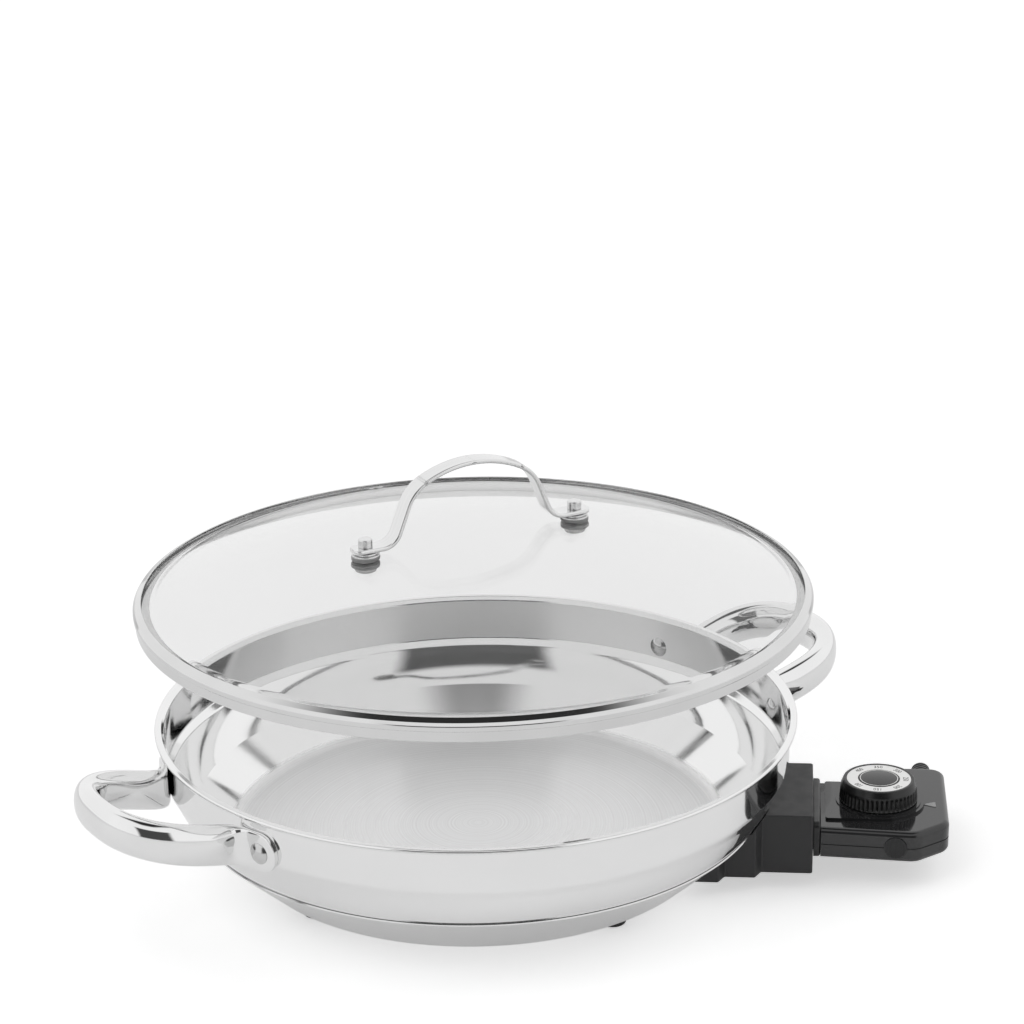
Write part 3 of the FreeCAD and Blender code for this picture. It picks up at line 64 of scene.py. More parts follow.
def pan_axis() -> Array:
    """Place of the pan's axis on the table, in metres."""
    low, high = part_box("pan_body")
    return np.array([(low.x + high.x) / 2.0, (low.y + high.y) / 2.0, 0.0])


AXIS = pan_axis()


# ---------------------------------------------------------------- curves and surfaces


def unit(rows: Array) -> Array:
    """Rows divided by their own lengths."""
    return rows / np.maximum(np.linalg.norm(rows, axis=-1, keepdims=True), 1e-12)


def shifted(path: Array, distance: float) -> Array:
    """Open path moved to its left, with mitred corners.

    At a corner between unit normals m and n the shift is distance * (m + n) / (1 + m.n).

    Args:
        path: Points, one row each.
        distance: How far the path moves; a negative one moves it to the right.

    Returns:
        The moved points, one row each.
    """
    run = unit(np.diff(path, axis=0))
    normal = np.stack([-run[:, 1], run[:, 0]], axis=1)
    before = np.vstack([normal[:1], normal])
    after = np.vstack([normal, normal[-1:]])
    dot = np.sum(before * after, axis=1, keepdims=True)
    return path + distance * (before + after) / (1.0 + dot)


def rounded(corners: Array, closed: bool = True, steps: int = 8, guard: float = 0.16) -> Array:
    """Outline through rounded corners, with a guard point beside each end of every arc.

    An arc of radius r leaves the two runs r / tan(half angle) from the corner. Its points are the
    spherical blend of the two directions from its centre. The guard points keep the flat runs flat
    when the surface is shaded smooth.

    Args:
        corners: Rows of u, v and the corner's radius; a radius of 0 keeps it sharp.
        closed: Whether the last corner joins the first.
        steps: Points on each arc.
        guard: Distance of the guard points from the arc, in millimetres.

    Returns:
        Points of the outline, one row each.
    """
    spot = corners[:, :2]
    radius = np.maximum(corners[:, 2:3], 1e-4)
    before = unit(np.roll(spot, 1, axis=0) - spot)
    after = unit(np.roll(spot, -1, axis=0) - spot)
    cosine = np.clip(np.sum(before * after, axis=1, keepdims=True), -0.999999, 0.999999)
    half = np.arccos(cosine) / 2.0
    reach = radius / np.tan(half)
    centre = spot + unit(before + after) * radius / np.sin(half)
    start = spot + before * reach - centre
    end = spot + after * reach - centre
    sweep = math.pi - 2.0 * half
    share = np.linspace(0.0, 1.0, steps)[None, :, None]
    turn = sweep[:, None]
    arc = np.sin((1.0 - share) * turn) * start[:, None] + np.sin(share * turn) * end[:, None]
    arc = centre[:, None] + arc / np.sin(sweep)[:, None]
    first = arc[:, :1] + before[:, None] * guard
    last = arc[:, -1:] + after[:, None] * guard
    loop = np.concatenate([first, arc, last], axis=1)
    if closed:
        return loop.reshape(-1, 2)
    return np.vstack([spot[:1], loop[1:-1].reshape(-1, 2), spot[-1:]])


def even_rows(rows: Array, step: float) -> tuple[Array, Array]:
    """Rows of a path set at even distances, and the path's unit tangents there.

    The first three columns are the place; the others are carried along with it.

    Args:
        rows: Dense rows along the path.
        step: Distance between two rows in millimetres.

    Returns:
        The even rows, and one tangent for each.
    """
    run = np.concatenate([[0.0], np.cumsum(np.linalg.norm(np.diff(rows[:, :3], axis=0), axis=1))])
    stops = np.linspace(0.0, run[-1], max(int(run[-1] / step), 8))
    even = np.stack([np.interp(stops, run, column) for column in rows.T], axis=1)
    return even, unit(np.gradient(even[:, :3], axis=0))


@dataclass
class Surface:
    """Grid of points over two parameters.

    Attributes:
        points: Array of rows, columns and x, y, z in millimetres from the pan's axis.
        wrap_rows: Whether the last row joins the first.
        wrap_columns: Whether the last column joins the first.
    """

    points: Array
    wrap_rows: bool = False
    wrap_columns: bool = False

    def quads(self) -> Array:
        """Four point numbers for each face of the grid."""
        rows, columns = self.points.shape[:2]
        number = np.arange(rows * columns).reshape(rows, columns)
        if self.wrap_rows:
            number = np.vstack([number, number[:1]])
        if self.wrap_columns:
            number = np.hstack([number, number[:, :1]])
        corners = (number[:-1, :-1], number[:-1, 1:], number[1:, 1:], number[1:, :-1])
        return np.stack(corners, axis=-1).reshape(-1, 4)


def turned(profile: Array, around: int = 256, closed: bool = False) -> Surface:
    """Surface of revolution: a point (r, z) goes to (r cos a, r sin a, z) for a from 0 to a full turn.

    Args:
        profile: Rows of radius and height.
        around: Steps round the axis.
        closed: Whether the profile is a loop that never meets the axis.

    Returns:
        The surface about the Z axis.
    """
    angle = np.linspace(0.0, TURN, around, endpoint=False)[:, None]
    r, z = profile[:, 0][None, :], profile[:, 1][None, :]
    points = np.stack([r * np.cos(angle), r * np.sin(angle), z + 0.0 * angle], axis=-1)
    return Surface(points, wrap_rows=True, wrap_columns=closed)


def moved(surface: Surface, matrix: Matrix) -> Surface:
    """Copy of a surface turned and moved by a matrix in millimetres."""
    table = np.array(matrix)
    points = surface.points @ table[:3, :3].T + table[:3, 3]
    return Surface(points, surface.wrap_rows, surface.wrap_columns)


def swept(centres: Array, across: Array, up: Array, sections: Array) -> Surface:
    """Tube along a line: section point (u, w) goes to centre + u * across + w * up.

    Args:
        centres: One row for each station.
        across: Unit direction of u at each station.
        up: Unit direction of w at each station.
        sections: Array of stations, section points and (u, w).

    Returns:
        The tube with both ends closed to their centres.
    """
    skin = centres[:, None] + across[:, None] * sections[..., :1] + up[:, None] * sections[..., 1:]
    caps = [np.broadcast_to(skin[i].mean(axis=0), (1, skin.shape[1], 3)) for i in (0, -1)]
    return Surface(np.concatenate([caps[0], skin, caps[1]]), wrap_columns=True)


def face_turn(azimuth: float, lean: float = 0.0) -> Matrix:
    """Turn about Z by an azimuth after a lean about Y, both in degrees."""
    return Matrix.Rotation(math.radians(azimuth), 4, "Z") @ Matrix.Rotation(math.radians(lean), 4, "Y")


def shell_mesh(name: str, surfaces: Sequence[Surface], sharp: float) -> bpy.types.Mesh:
    """Mesh of closed shells, with seams and poles merged and faces pointing outwards.

    Args:
        name: Name of the mesh.
        surfaces: Grids that together close each shell.
        sharp: Angle in degrees over which an edge stays sharp.

    Returns:
        The mesh in metres, in the frame.
    """
    starts = np.cumsum([0] + [s.points.shape[0] * s.points.shape[1] for s in surfaces[:-1]])
    points = np.concatenate([s.points.reshape(-1, 3) for s in surfaces]) * MM + AXIS
    quads = np.concatenate([s.quads() + start for s, start in zip(surfaces, starts)])
    mesh = bpy.data.meshes.new(name)
    mesh.from_pydata(points.tolist(), [], quads.tolist())
    shape = bmesh.new()
    shape.from_mesh(mesh)
    bmesh.ops.remove_doubles(shape, verts=shape.verts, dist=MERGE)
    bmesh.ops.recalc_face_normals(shape, faces=shape.faces)
    shape.to_mesh(mesh)
    shape.free()
    mesh.shade_smooth()
    mesh.set_sharp_from_angle(angle=math.radians(sharp))
    return mesh


# ---------------------------------------------------------------- finishes


def linear(code: str) -> tuple[float, float, float, float]:
    """sRGB hex colour as linear red, green, blue and alpha."""
    parts = np.array([int(code[i : i + 2], 16) for i in (1, 3, 5)]) / 255.0
    parts = np.where(parts <= 0.04045, parts / 12.92, ((parts + 0.055) / 1.055) ** 2.4)
    return (float(parts[0]), float(parts[1]), float(parts[2]), 1.0)


def add_node(
    tree: bpy.types.NodeTree,
    kind: str,
    settings: Optional[Mapping[str, Any]] = None,
    links: Optional[Mapping[Any, bpy.types.NodeSocket]] = None,
) -> bpy.types.Node:
    """One node with its settings and links.

    Args:
        tree: Node tree that takes the node.
        kind: Blender's name of the node type.
        settings: Values by input name, input number or property name.
        links: Output sockets by input name or number.

    Returns:
        The node.
    """
    node = tree.nodes.new(kind)
    for key, value in (settings or {}).items():
        if isinstance(key, int) or key in node.inputs:
            node.inputs[key].default_value = value
        else:
            setattr(node, key, value)
    for key, socket in (links or {}).items():
        tree.links.new(socket, node.inputs[key])
    return node


PATTERN_SPAN = {"From Min": 0.3, "From Max": 0.7}  # a noise pattern mostly stays between these
PATCH_GRAINS = 12.0  # cloudy patches of an even finish, in grains


@dataclass(frozen=True)
class Finish:
    """An even moulded, cast or polished surface finish.

    The grain of a moulded or machined skin is about 0.1 mm. Most finishes draw it at 0.3 to 1 mm,
    because a finer one doesn't show.

    Attributes:
        name: Name of the material.
        colour: sRGB hex colour.
        roughness: Middle roughness.
        metallic: 1 for a metal.
        spread: How far the roughness strays either way.
        grain: Size of the surface grain in millimetres.
        relief: Depth of the grain in millimetres.
        dust: How much the colour varies, as a share.
        ior: Refractive index, used only where the surface isn't metal.
    """

    name: str
    colour: str
    roughness: float
    metallic: float = 0.0
    spread: float = 0.03
    grain: float = 1.0
    relief: float = 0.0
    dust: float = 0.04
    ior: float = 1.5

    def material(self) -> bpy.types.Material:
        """The finish's material, made once."""
        made = bpy.data.materials.get(self.name)
        if made is None:
            made = bpy.data.materials.new(self.name)
            made.use_nodes = True
            made.node_tree.nodes.clear()
            shader = self.surface(made.node_tree)
            add_node(made.node_tree, "ShaderNodeOutputMaterial", links={"Surface": shader})
        return made

    def place(self, tree: bpy.types.NodeTree, size: float) -> bpy.types.NodeSocket:
        """Object coordinates from the pan's axis, scaled so that 1 is a size in millimetres."""
        where = add_node(tree, "ShaderNodeTexCoord")
        centred = add_node(
            tree,
            "ShaderNodeMapping",
            {"vector_type": "TEXTURE", "Location": tuple(AXIS), "Scale": (size * MM,) * 3},
            {"Vector": where.outputs["Object"]},
        )
        return centred.outputs["Vector"]

    def patches(self, tree: bpy.types.NodeTree, size: float, detail: float = 3.0) -> bpy.types.NodeSocket:
        """Cloudy pattern over the piece, whose patches are about a size in millimetres."""
        cloud = add_node(
            tree,
            "ShaderNodeTexNoise",
            {"Scale": 1.0, "Detail": detail},
            {"Vector": self.place(tree, size)},
        )
        return cloud.outputs[0]

    def shine(self, tree: bpy.types.NodeTree, pattern: bpy.types.NodeSocket) -> bpy.types.NodeSocket:
        """The roughness, less by the spread where the pattern is low and more where it is high."""
        bounds = {"To Min": self.roughness - self.spread, "To Max": self.roughness + self.spread}
        spread = add_node(tree, "ShaderNodeMapRange", {**PATTERN_SPAN, **bounds}, {"Value": pattern})
        return spread.outputs["Result"]

    def tint(self, tree: bpy.types.NodeTree, pattern: bpy.types.NodeSocket) -> bpy.types.NodeSocket:
        """The colour, a little darker where the pattern is low."""
        colour = linear(self.colour)
        darker = tuple(c * (1.0 - self.dust) for c in colour[:3]) + (1.0,)
        ramp = add_node(tree, "ShaderNodeValToRGB", links={"Fac": pattern})
        for stop, position, shade in zip(ramp.color_ramp.elements, (0.35, 0.65), (darker, colour)):
            stop.position = position
            stop.color = shade
        return ramp.outputs["Color"]

    def surface(self, tree: bpy.types.NodeTree) -> bpy.types.NodeSocket:
        """The shader: colour and roughness that stray in patches, and a fine grain if it has any."""
        cloud = self.patches(tree, self.grain * PATCH_GRAINS)
        settings = {"Metallic": self.metallic}
        if self.metallic == 0.0:
            settings["IOR"] = self.ior
        links = {"Base Color": self.tint(tree, cloud), "Roughness": self.shine(tree, cloud)}
        if self.relief > 0.0:
            depth = {"Strength": 1.0, "Distance": self.relief * MM}
            height = {"Height": self.patches(tree, self.grain, 2.0)}
            links["Normal"] = add_node(tree, "ShaderNodeBump", depth, height).outputs["Normal"]
        return add_node(tree, "ShaderNodeBsdfPrincipled", settings, links).outputs["BSDF"]


@dataclass(frozen=True)
class BrushedPan(Finish):
    """Drawn stainless steel: polished walls and a floor brushed in circles by a turning pad.

    The brush marks are about 0.1 mm wide in steel; here they are 0.9 mm so that they show. Light
    leaves the brushed floor in two lobes, a narrow one off the ridges' tops and a broad one off
    their sides, and the broad one has most of it.

    Attributes:
        floor_top: Height in millimetres under which the floor's brushing starts.
        level_blend: How far under and over that height the two finishes blend, in millimetres.
        mark: Width of a brush mark in millimetres.
        mark_depth: Depth of a brush mark in millimetres.
        lay: sRGB hex colour of the brushed floor.
        narrow: Least and most roughness of the narrow lobe.
        broad: Least and most roughness of the broad lobe.
        broad_share: Least and most share of the broad lobe.
        cloud: Size of the polished walls' cloudy patches in millimetres.
        wave: Size of the faint waves that the drawing leaves, in millimetres.
    """

    floor_top: float = 18.5
    level_blend: tuple[float, float] = (1.0, 0.6)
    mark: float = 0.9
    mark_depth: float = 0.0011
    lay: str = "#FEFEFE"
    narrow: tuple[float, float] = (0.18, 0.26)
    broad: tuple[float, float] = (0.54, 0.64)
    broad_share: tuple[float, float] = (0.82, 0.94)
    cloud: float = 40.0
    wave: float = 9.0

    def walls(self, tree: bpy.types.NodeTree) -> bpy.types.NodeSocket:
        """Polished steel with faint waves."""
        cloud = self.patches(tree, self.cloud)
        depth = {"Strength": 1.0, "Distance": self.relief * MM}
        waves = add_node(tree, "ShaderNodeBump", depth, {"Height": self.patches(tree, self.wave, 1.0)})
        links = {
            "Base Color": self.tint(tree, cloud),
            "Roughness": self.shine(tree, cloud),
            "Normal": waves.outputs["Normal"],
        }
        return add_node(tree, "ShaderNodeBsdfPrincipled", {"Metallic": 1.0}, links).outputs["BSDF"]

    def floor(self, tree: bpy.types.NodeTree, parts: bpy.types.Node) -> bpy.types.NodeSocket:
        """Steel brushed in circles: the marks are a noise of the distance from the axis.

        Args:
            tree: Node tree of the material.
            parts: Node that gives X, Y and Z from the axis in millimetres.

        Returns:
            The floor's shader.
        """
        across = {"X": parts.outputs["X"], "Y": parts.outputs["Y"]}
        flat = add_node(tree, "ShaderNodeCombineXYZ", links=across)
        radius = add_node(
            tree, "ShaderNodeVectorMath", {"operation": "LENGTH"}, {0: flat.outputs["Vector"]}
        )
        ring = add_node(
            tree,
            "ShaderNodeTexNoise",
            {"noise_dimensions": "1D", "Scale": 1.0 / self.mark, "Detail": 2.0},
            {"W": radius.outputs["Value"]},
        ).outputs[0]
        narrow, broad, share = (
            add_node(
                tree, "ShaderNodeMapRange", {**PATTERN_SPAN, "To Min": low, "To Max": high}, {"Value": ring}
            ).outputs["Result"]
            for low, high in (self.narrow, self.broad, self.broad_share)
        )
        steel = {"Metallic": 1.0, "Base Color": linear(self.lay)}
        depth = {"Strength": 1.0, "Distance": self.mark_depth * MM}
        normal = add_node(tree, "ShaderNodeBump", depth, {"Height": ring}).outputs["Normal"]
        lobes = [
            add_node(tree, "ShaderNodeBsdfPrincipled", steel, {"Roughness": rough, "Normal": normal})
            for rough in (narrow, broad)
        ]
        both = {0: share, 1: lobes[0].outputs[0], 2: lobes[1].outputs[0]}
        return add_node(tree, "ShaderNodeMixShader", links=both).outputs[0]

    def surface(self, tree: bpy.types.NodeTree) -> bpy.types.NodeSocket:
        """The walls' steel, mixed by height with the floor's."""
        parts = add_node(tree, "ShaderNodeSeparateXYZ", links={"Vector": self.place(tree, 1.0)})
        under, over = self.level_blend
        bounds = {"From Min": self.floor_top - under, "From Max": self.floor_top + over}
        level = add_node(
            tree,
            "ShaderNodeMapRange",
            {**bounds, "To Min": 1.0, "To Max": 0.0},
            {"Value": parts.outputs["Z"]},
        )
        both = {0: level.outputs["Result"], 1: self.walls(tree), 2: self.floor(tree, parts)}
        return add_node(tree, "ShaderNodeMixShader", links=both).outputs[0]


@dataclass(frozen=True)
class SatinBand(Finish):
    """Rolled stainless band, brushed along its length: long fine scratches and softer gloss.

    The scratches are about 0.05 mm wide in steel; here they are 0.5 mm so that they show.

    Attributes:
        azimuth: Direction of the band in degrees.
        scratch: Length and width of a scratch in millimetres.
    """

    azimuth: float = 31.7
    scratch: tuple[float, float] = (25.0, 0.5)

    def surface(self, tree: bpy.types.NodeTree) -> bpy.types.NodeSocket:
        """Steel with a pattern drawn out along the band."""
        long, wide = self.scratch
        where = add_node(tree, "ShaderNodeTexCoord")
        along = add_node(
            tree,
            "ShaderNodeMapping",
            {
                "vector_type": "TEXTURE",
                "Location": tuple(AXIS),
                "Rotation": (0.0, 0.0, math.radians(self.azimuth)),
                "Scale": (long * MM, wide * MM, long * MM),
            },
            {"Vector": where.outputs["Object"]},
        )
        pattern = {"Scale": 1.0, "Detail": 2.0}
        scratches = add_node(tree, "ShaderNodeTexNoise", pattern, {"Vector": along.outputs[0]}).outputs[0]
        depth = {"Strength": 1.0, "Distance": self.relief * MM}
        normal = add_node(tree, "ShaderNodeBump", depth, {"Height": scratches}).outputs["Normal"]
        links = {
            "Base Color": self.tint(tree, scratches),
            "Roughness": self.shine(tree, scratches),
            "Normal": normal,
        }
        return add_node(tree, "ShaderNodeBsdfPrincipled", {"Metallic": 1.0}, links).outputs[0]


@dataclass(frozen=True)
class ClearGlass(Finish):
    """Tempered soda-lime glass, pressed: clear with a faint grey, and it lets lamps through.

    Attributes:
        patch: Size of the patches of faint unevenness in millimetres.
        shadow: sRGB hex colour of the light that passes it.
    """

    patch: float = 60.0
    shadow: str = "#F4F6F6"

    def surface(self, tree: bpy.types.NodeTree) -> bpy.types.NodeSocket:
        """Refracting glass that turns transparent for shadow rays."""
        cloud = self.patches(tree, self.patch)
        glass = add_node(
            tree,
            "ShaderNodeBsdfPrincipled",
            {"Transmission Weight": 1.0, "IOR": self.ior},
            {"Base Color": self.tint(tree, cloud), "Roughness": self.shine(tree, cloud)},
        )
        path = add_node(tree, "ShaderNodeLightPath")
        clear = add_node(tree, "ShaderNodeBsdfTransparent", {"Color": linear(self.shadow)})
        both = {0: path.outputs["Is Shadow Ray"], 1: glass.outputs[0], 2: clear.outputs[0]}
        return add_node(tree, "ShaderNodeMixShader", links=both).outputs[0]


# Stainless sheet, deep drawn and buffed: almost a mirror, with faint waves; brushed only on the floor.
PAN_STEEL = BrushedPan(
    "stainless_drawn_and_polished", "#EEEEEE", 0.07, 1.0, spread=0.03, relief=0.0015, dust=0.02
)
# Stainless sheet, pressed and polished less: softer and greyer than the pan above it.
BASE_STEEL = Finish("stainless_base_polished", "#DEDEDE", 0.13, 1.0, spread=0.03, grain=3.0)
# Stainless tube, bent and mirror polished: crisp black and white bands along its bends.
LOOP_STEEL = Finish("stainless_tube_mirror_polished", "#ECECEC", 0.07, 1.0, spread=0.02, grain=2.0)
# Stainless rivets, tumbled after heading: small soft highlights on their domes.
RIVET_STEEL = Finish("stainless_rivet_tumbled", "#CECECE", 0.16, 1.0, spread=0.04, grain=0.6)
# Stainless strip, rolled round the glass and polished: a bright line with dark edges.
RING_STEEL = Finish("stainless_ring_roll_polished", "#DCDCDC", 0.08, 1.0, spread=0.02, grain=2.0)
# Stainless strip, satin brushed along its length: highlights drawn out across the bends.
BAND_STEEL = SatinBand(
    "stainless_strap_satin", "#E6E6E6", 0.13, 1.0, spread=0.04, relief=0.004, dust=0.05
)
# Mild steel screws, bright zinc plated: pale and slightly milky.
SCREW_STEEL = Finish("steel_screw_zinc_plated", "#C2C2C1", 0.25, 1.0, spread=0.06, grain=0.4, relief=0.004)
# Stainless nuts and washers, turned on a lathe: paler than the screws, with a blurred gloss.
NUT_STEEL = Finish("stainless_nut_turned", "#E2E2E2", 0.22, 1.0, spread=0.05, grain=0.4)
# Soda-lime glass, pressed and tempered: clear with a faint grey. Its real index is 1.52; the lower
# one keeps the reflections on the dome as faint as they are on the real lid.
LID_GLASS = ClearGlass("soda_lime_glass_tempered", "#EFEFEF", 0.006, spread=0.006, dust=0.01, ior=1.23)
# Silicone rubber, moulded and tinted grey: dull, with a fine skin.
GASKET_RUBBER = Finish(
    "silicone_rubber_grey", "#A4A4A4", 0.42, spread=0.05, grain=0.4, relief=0.005, ior=1.42
)
# Phenolic, moulded in a spark-eroded tool: matt black that greys a little under soft light. The
# texture is about 0.1 mm in the tool; here the grain is 0.5 mm so that it shows.
BRACKET_BLACK = Finish(
    "phenolic_moulded_fine_grain", "#323233", 0.52, spread=0.06, grain=0.5, relief=0.02, dust=0.12
)
# The same phenolic for the feet, with painted shade: its colour is made darker because they see little light.
FOOT_SHADED_BLACK = Finish("phenolic_foot_painted_shade", "#232323", 0.55, spread=0.05, grain=0.5, relief=0.02, dust=0.12)
# Phenolic, moulded in a polished tool: piano gloss, with slight sink waves.
HOUSING_BLACK = Finish(
    "phenolic_moulded_high_gloss", "#2C2C2D", 0.07, spread=0.025, grain=2.5, relief=0.002, ior=1.58
)
# Phenolic, moulded in a brushed tool: an even satin black beside the glossy housing.
COLLAR_BLACK = Finish("phenolic_collar_satin", "#1A1A1B", 0.35, spread=0.05, grain=0.5, relief=0.01)
# ABS, moulded in a satin tool: black ribs with thin soft highlights.
KNOB_BLACK = Finish("abs_knob_satin", "#161616", 0.30, spread=0.05, grain=0.4, relief=0.006)
# Aluminium ring, turned and anodised clear: a pale ring without mirror images.
DIAL_SILVER = Finish(
    "aluminium_ring_anodised_silver", "#E6E6E5", 0.34, 1.0, spread=0.04, grain=0.5, relief=0.002
)
# Ink, screen printed on the ring: flat black figures.
DIAL_INK = Finish("ink_black_screen_printed", "#1C1C1D", 0.5, spread=0.05, grain=0.3)
# ABS, moulded in a polished tool: a deep black cap that mirrors the room.
CAP_BLACK = Finish("abs_cap_high_gloss", "#0C0C0D", 0.08, spread=0.02, grain=1.0, ior=1.54)
# Ink, pad printed on the housing: a flat grey pointer.
MARK_GREY = Finish("ink_mark_grey", "#B0B0B0", 0.45, spread=0.05, grain=0.3)
# Aluminium, cast round the element: dull grey with a grainy skin.
SPREADER_METAL = Finish("aluminium_cast_plain", "#B9B9BA", 0.45, 1.0, spread=0.08, grain=0.8, relief=0.02)
# Incoloy sheath, drawn and oxidised by its own heat: brownish and uneven.
SHEATH_METAL = Finish("incoloy_sheath_heat_tinted", "#6E665E", 0.38, 1.0, spread=0.08, grain=1.5, dust=0.3)
# Steatite ceramic, pressed and glazed: warm white with a soft gloss.
CERAMIC_WHITE = Finish("steatite_ceramic_glazed", "#E6E2D8", 0.22, spread=0.05, grain=0.6, relief=0.005)
# Brass, stamped and left plain: yellow with a blurred gloss.
CONTACT_BRASS = Finish("brass_contact_plain", "#C9A45C", 0.28, 1.0, spread=0.06, grain=0.6)
# Urea resin, compression moulded: dull cream.
SWITCH_CREAM = Finish("urea_moulded_cream", "#D9CDB0", 0.48, spread=0.05, grain=0.6, relief=0.01)


# ---------------------------------------------------------------- pieces


def into_scene(name: str, data: Any) -> bpy.types.Object:
    """New object in the scene that holds a mesh, a lamp or a lens."""
    item = bpy.data.objects.new(name, data)
    bpy.context.scene.collection.objects.link(item)
    return item


def dress(piece: bpy.types.Object, finish: Finish) -> None:
    """Puts a finish on the whole of a piece."""
    piece.data.materials.clear()
    piece.data.materials.append(finish.material())


def fit_out(piece: bpy.types.Object, finish: Finish, body: str, nodes: Sequence[str] = ()) -> None:
    """Dresses a piece, puts it on its body and hides the CAD nodes that it stands for.

    Args:
        piece: The piece.
        finish: Its finish.
        body: Body it moves with.
        nodes: CAD nodes it stands for.
    """
    dress(piece, finish)
    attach(piece, body)
    if nodes:
        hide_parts(*nodes)
    log.info("%s: %d faces", piece.name, len(piece.data.polygons))


def make_piece(
    name: str,
    surfaces: Sequence[Surface],
    finish: Finish,
    body: str,
    nodes: Sequence[str] = (),
    sharp: float = 35.0,
) -> None:
    """New piece from closed shells that rides on a body and stands for CAD nodes.

    Args:
        name: Name of the piece.
        surfaces: Its shells.
        finish: Its finish.
        body: Body it moves with.
        nodes: CAD nodes it stands for.
        sharp: Angle in degrees over which an edge stays sharp.
    """
    fit_out(into_scene(name, shell_mesh(name, surfaces, sharp)), finish, body, nodes)


def refine(node: str, finish: Finish, body: str, sharp: float = 28.0) -> None:
    """Copy of a CAD node with its triangles joined and shaded smooth, which stands for the node.

    Args:
        node: The CAD node.
        finish: Its finish.
        body: Body it moves with.
        sharp: Angle in degrees over which an edge stays sharp.
    """
    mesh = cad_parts[node].data.copy()
    for name in [layer.name for layer in mesh.attributes if "normal" in layer.name.lower()]:
        mesh.attributes.remove(mesh.attributes[name])
    shape = bmesh.new()
    shape.from_mesh(mesh)
    bmesh.ops.remove_doubles(shape, verts=shape.verts, dist=MERGE)
    shape.to_mesh(mesh)
    shape.free()
    mesh.shade_smooth()
    mesh.set_sharp_from_angle(angle=math.radians(sharp))
    piece = into_scene(node + "_fine", mesh)
    evening = piece.modifiers.new("even_normals", "WEIGHTED_NORMAL")
    evening.keep_sharp = True
    evening.weight = 100
    fit_out(piece, finish, body, [node])


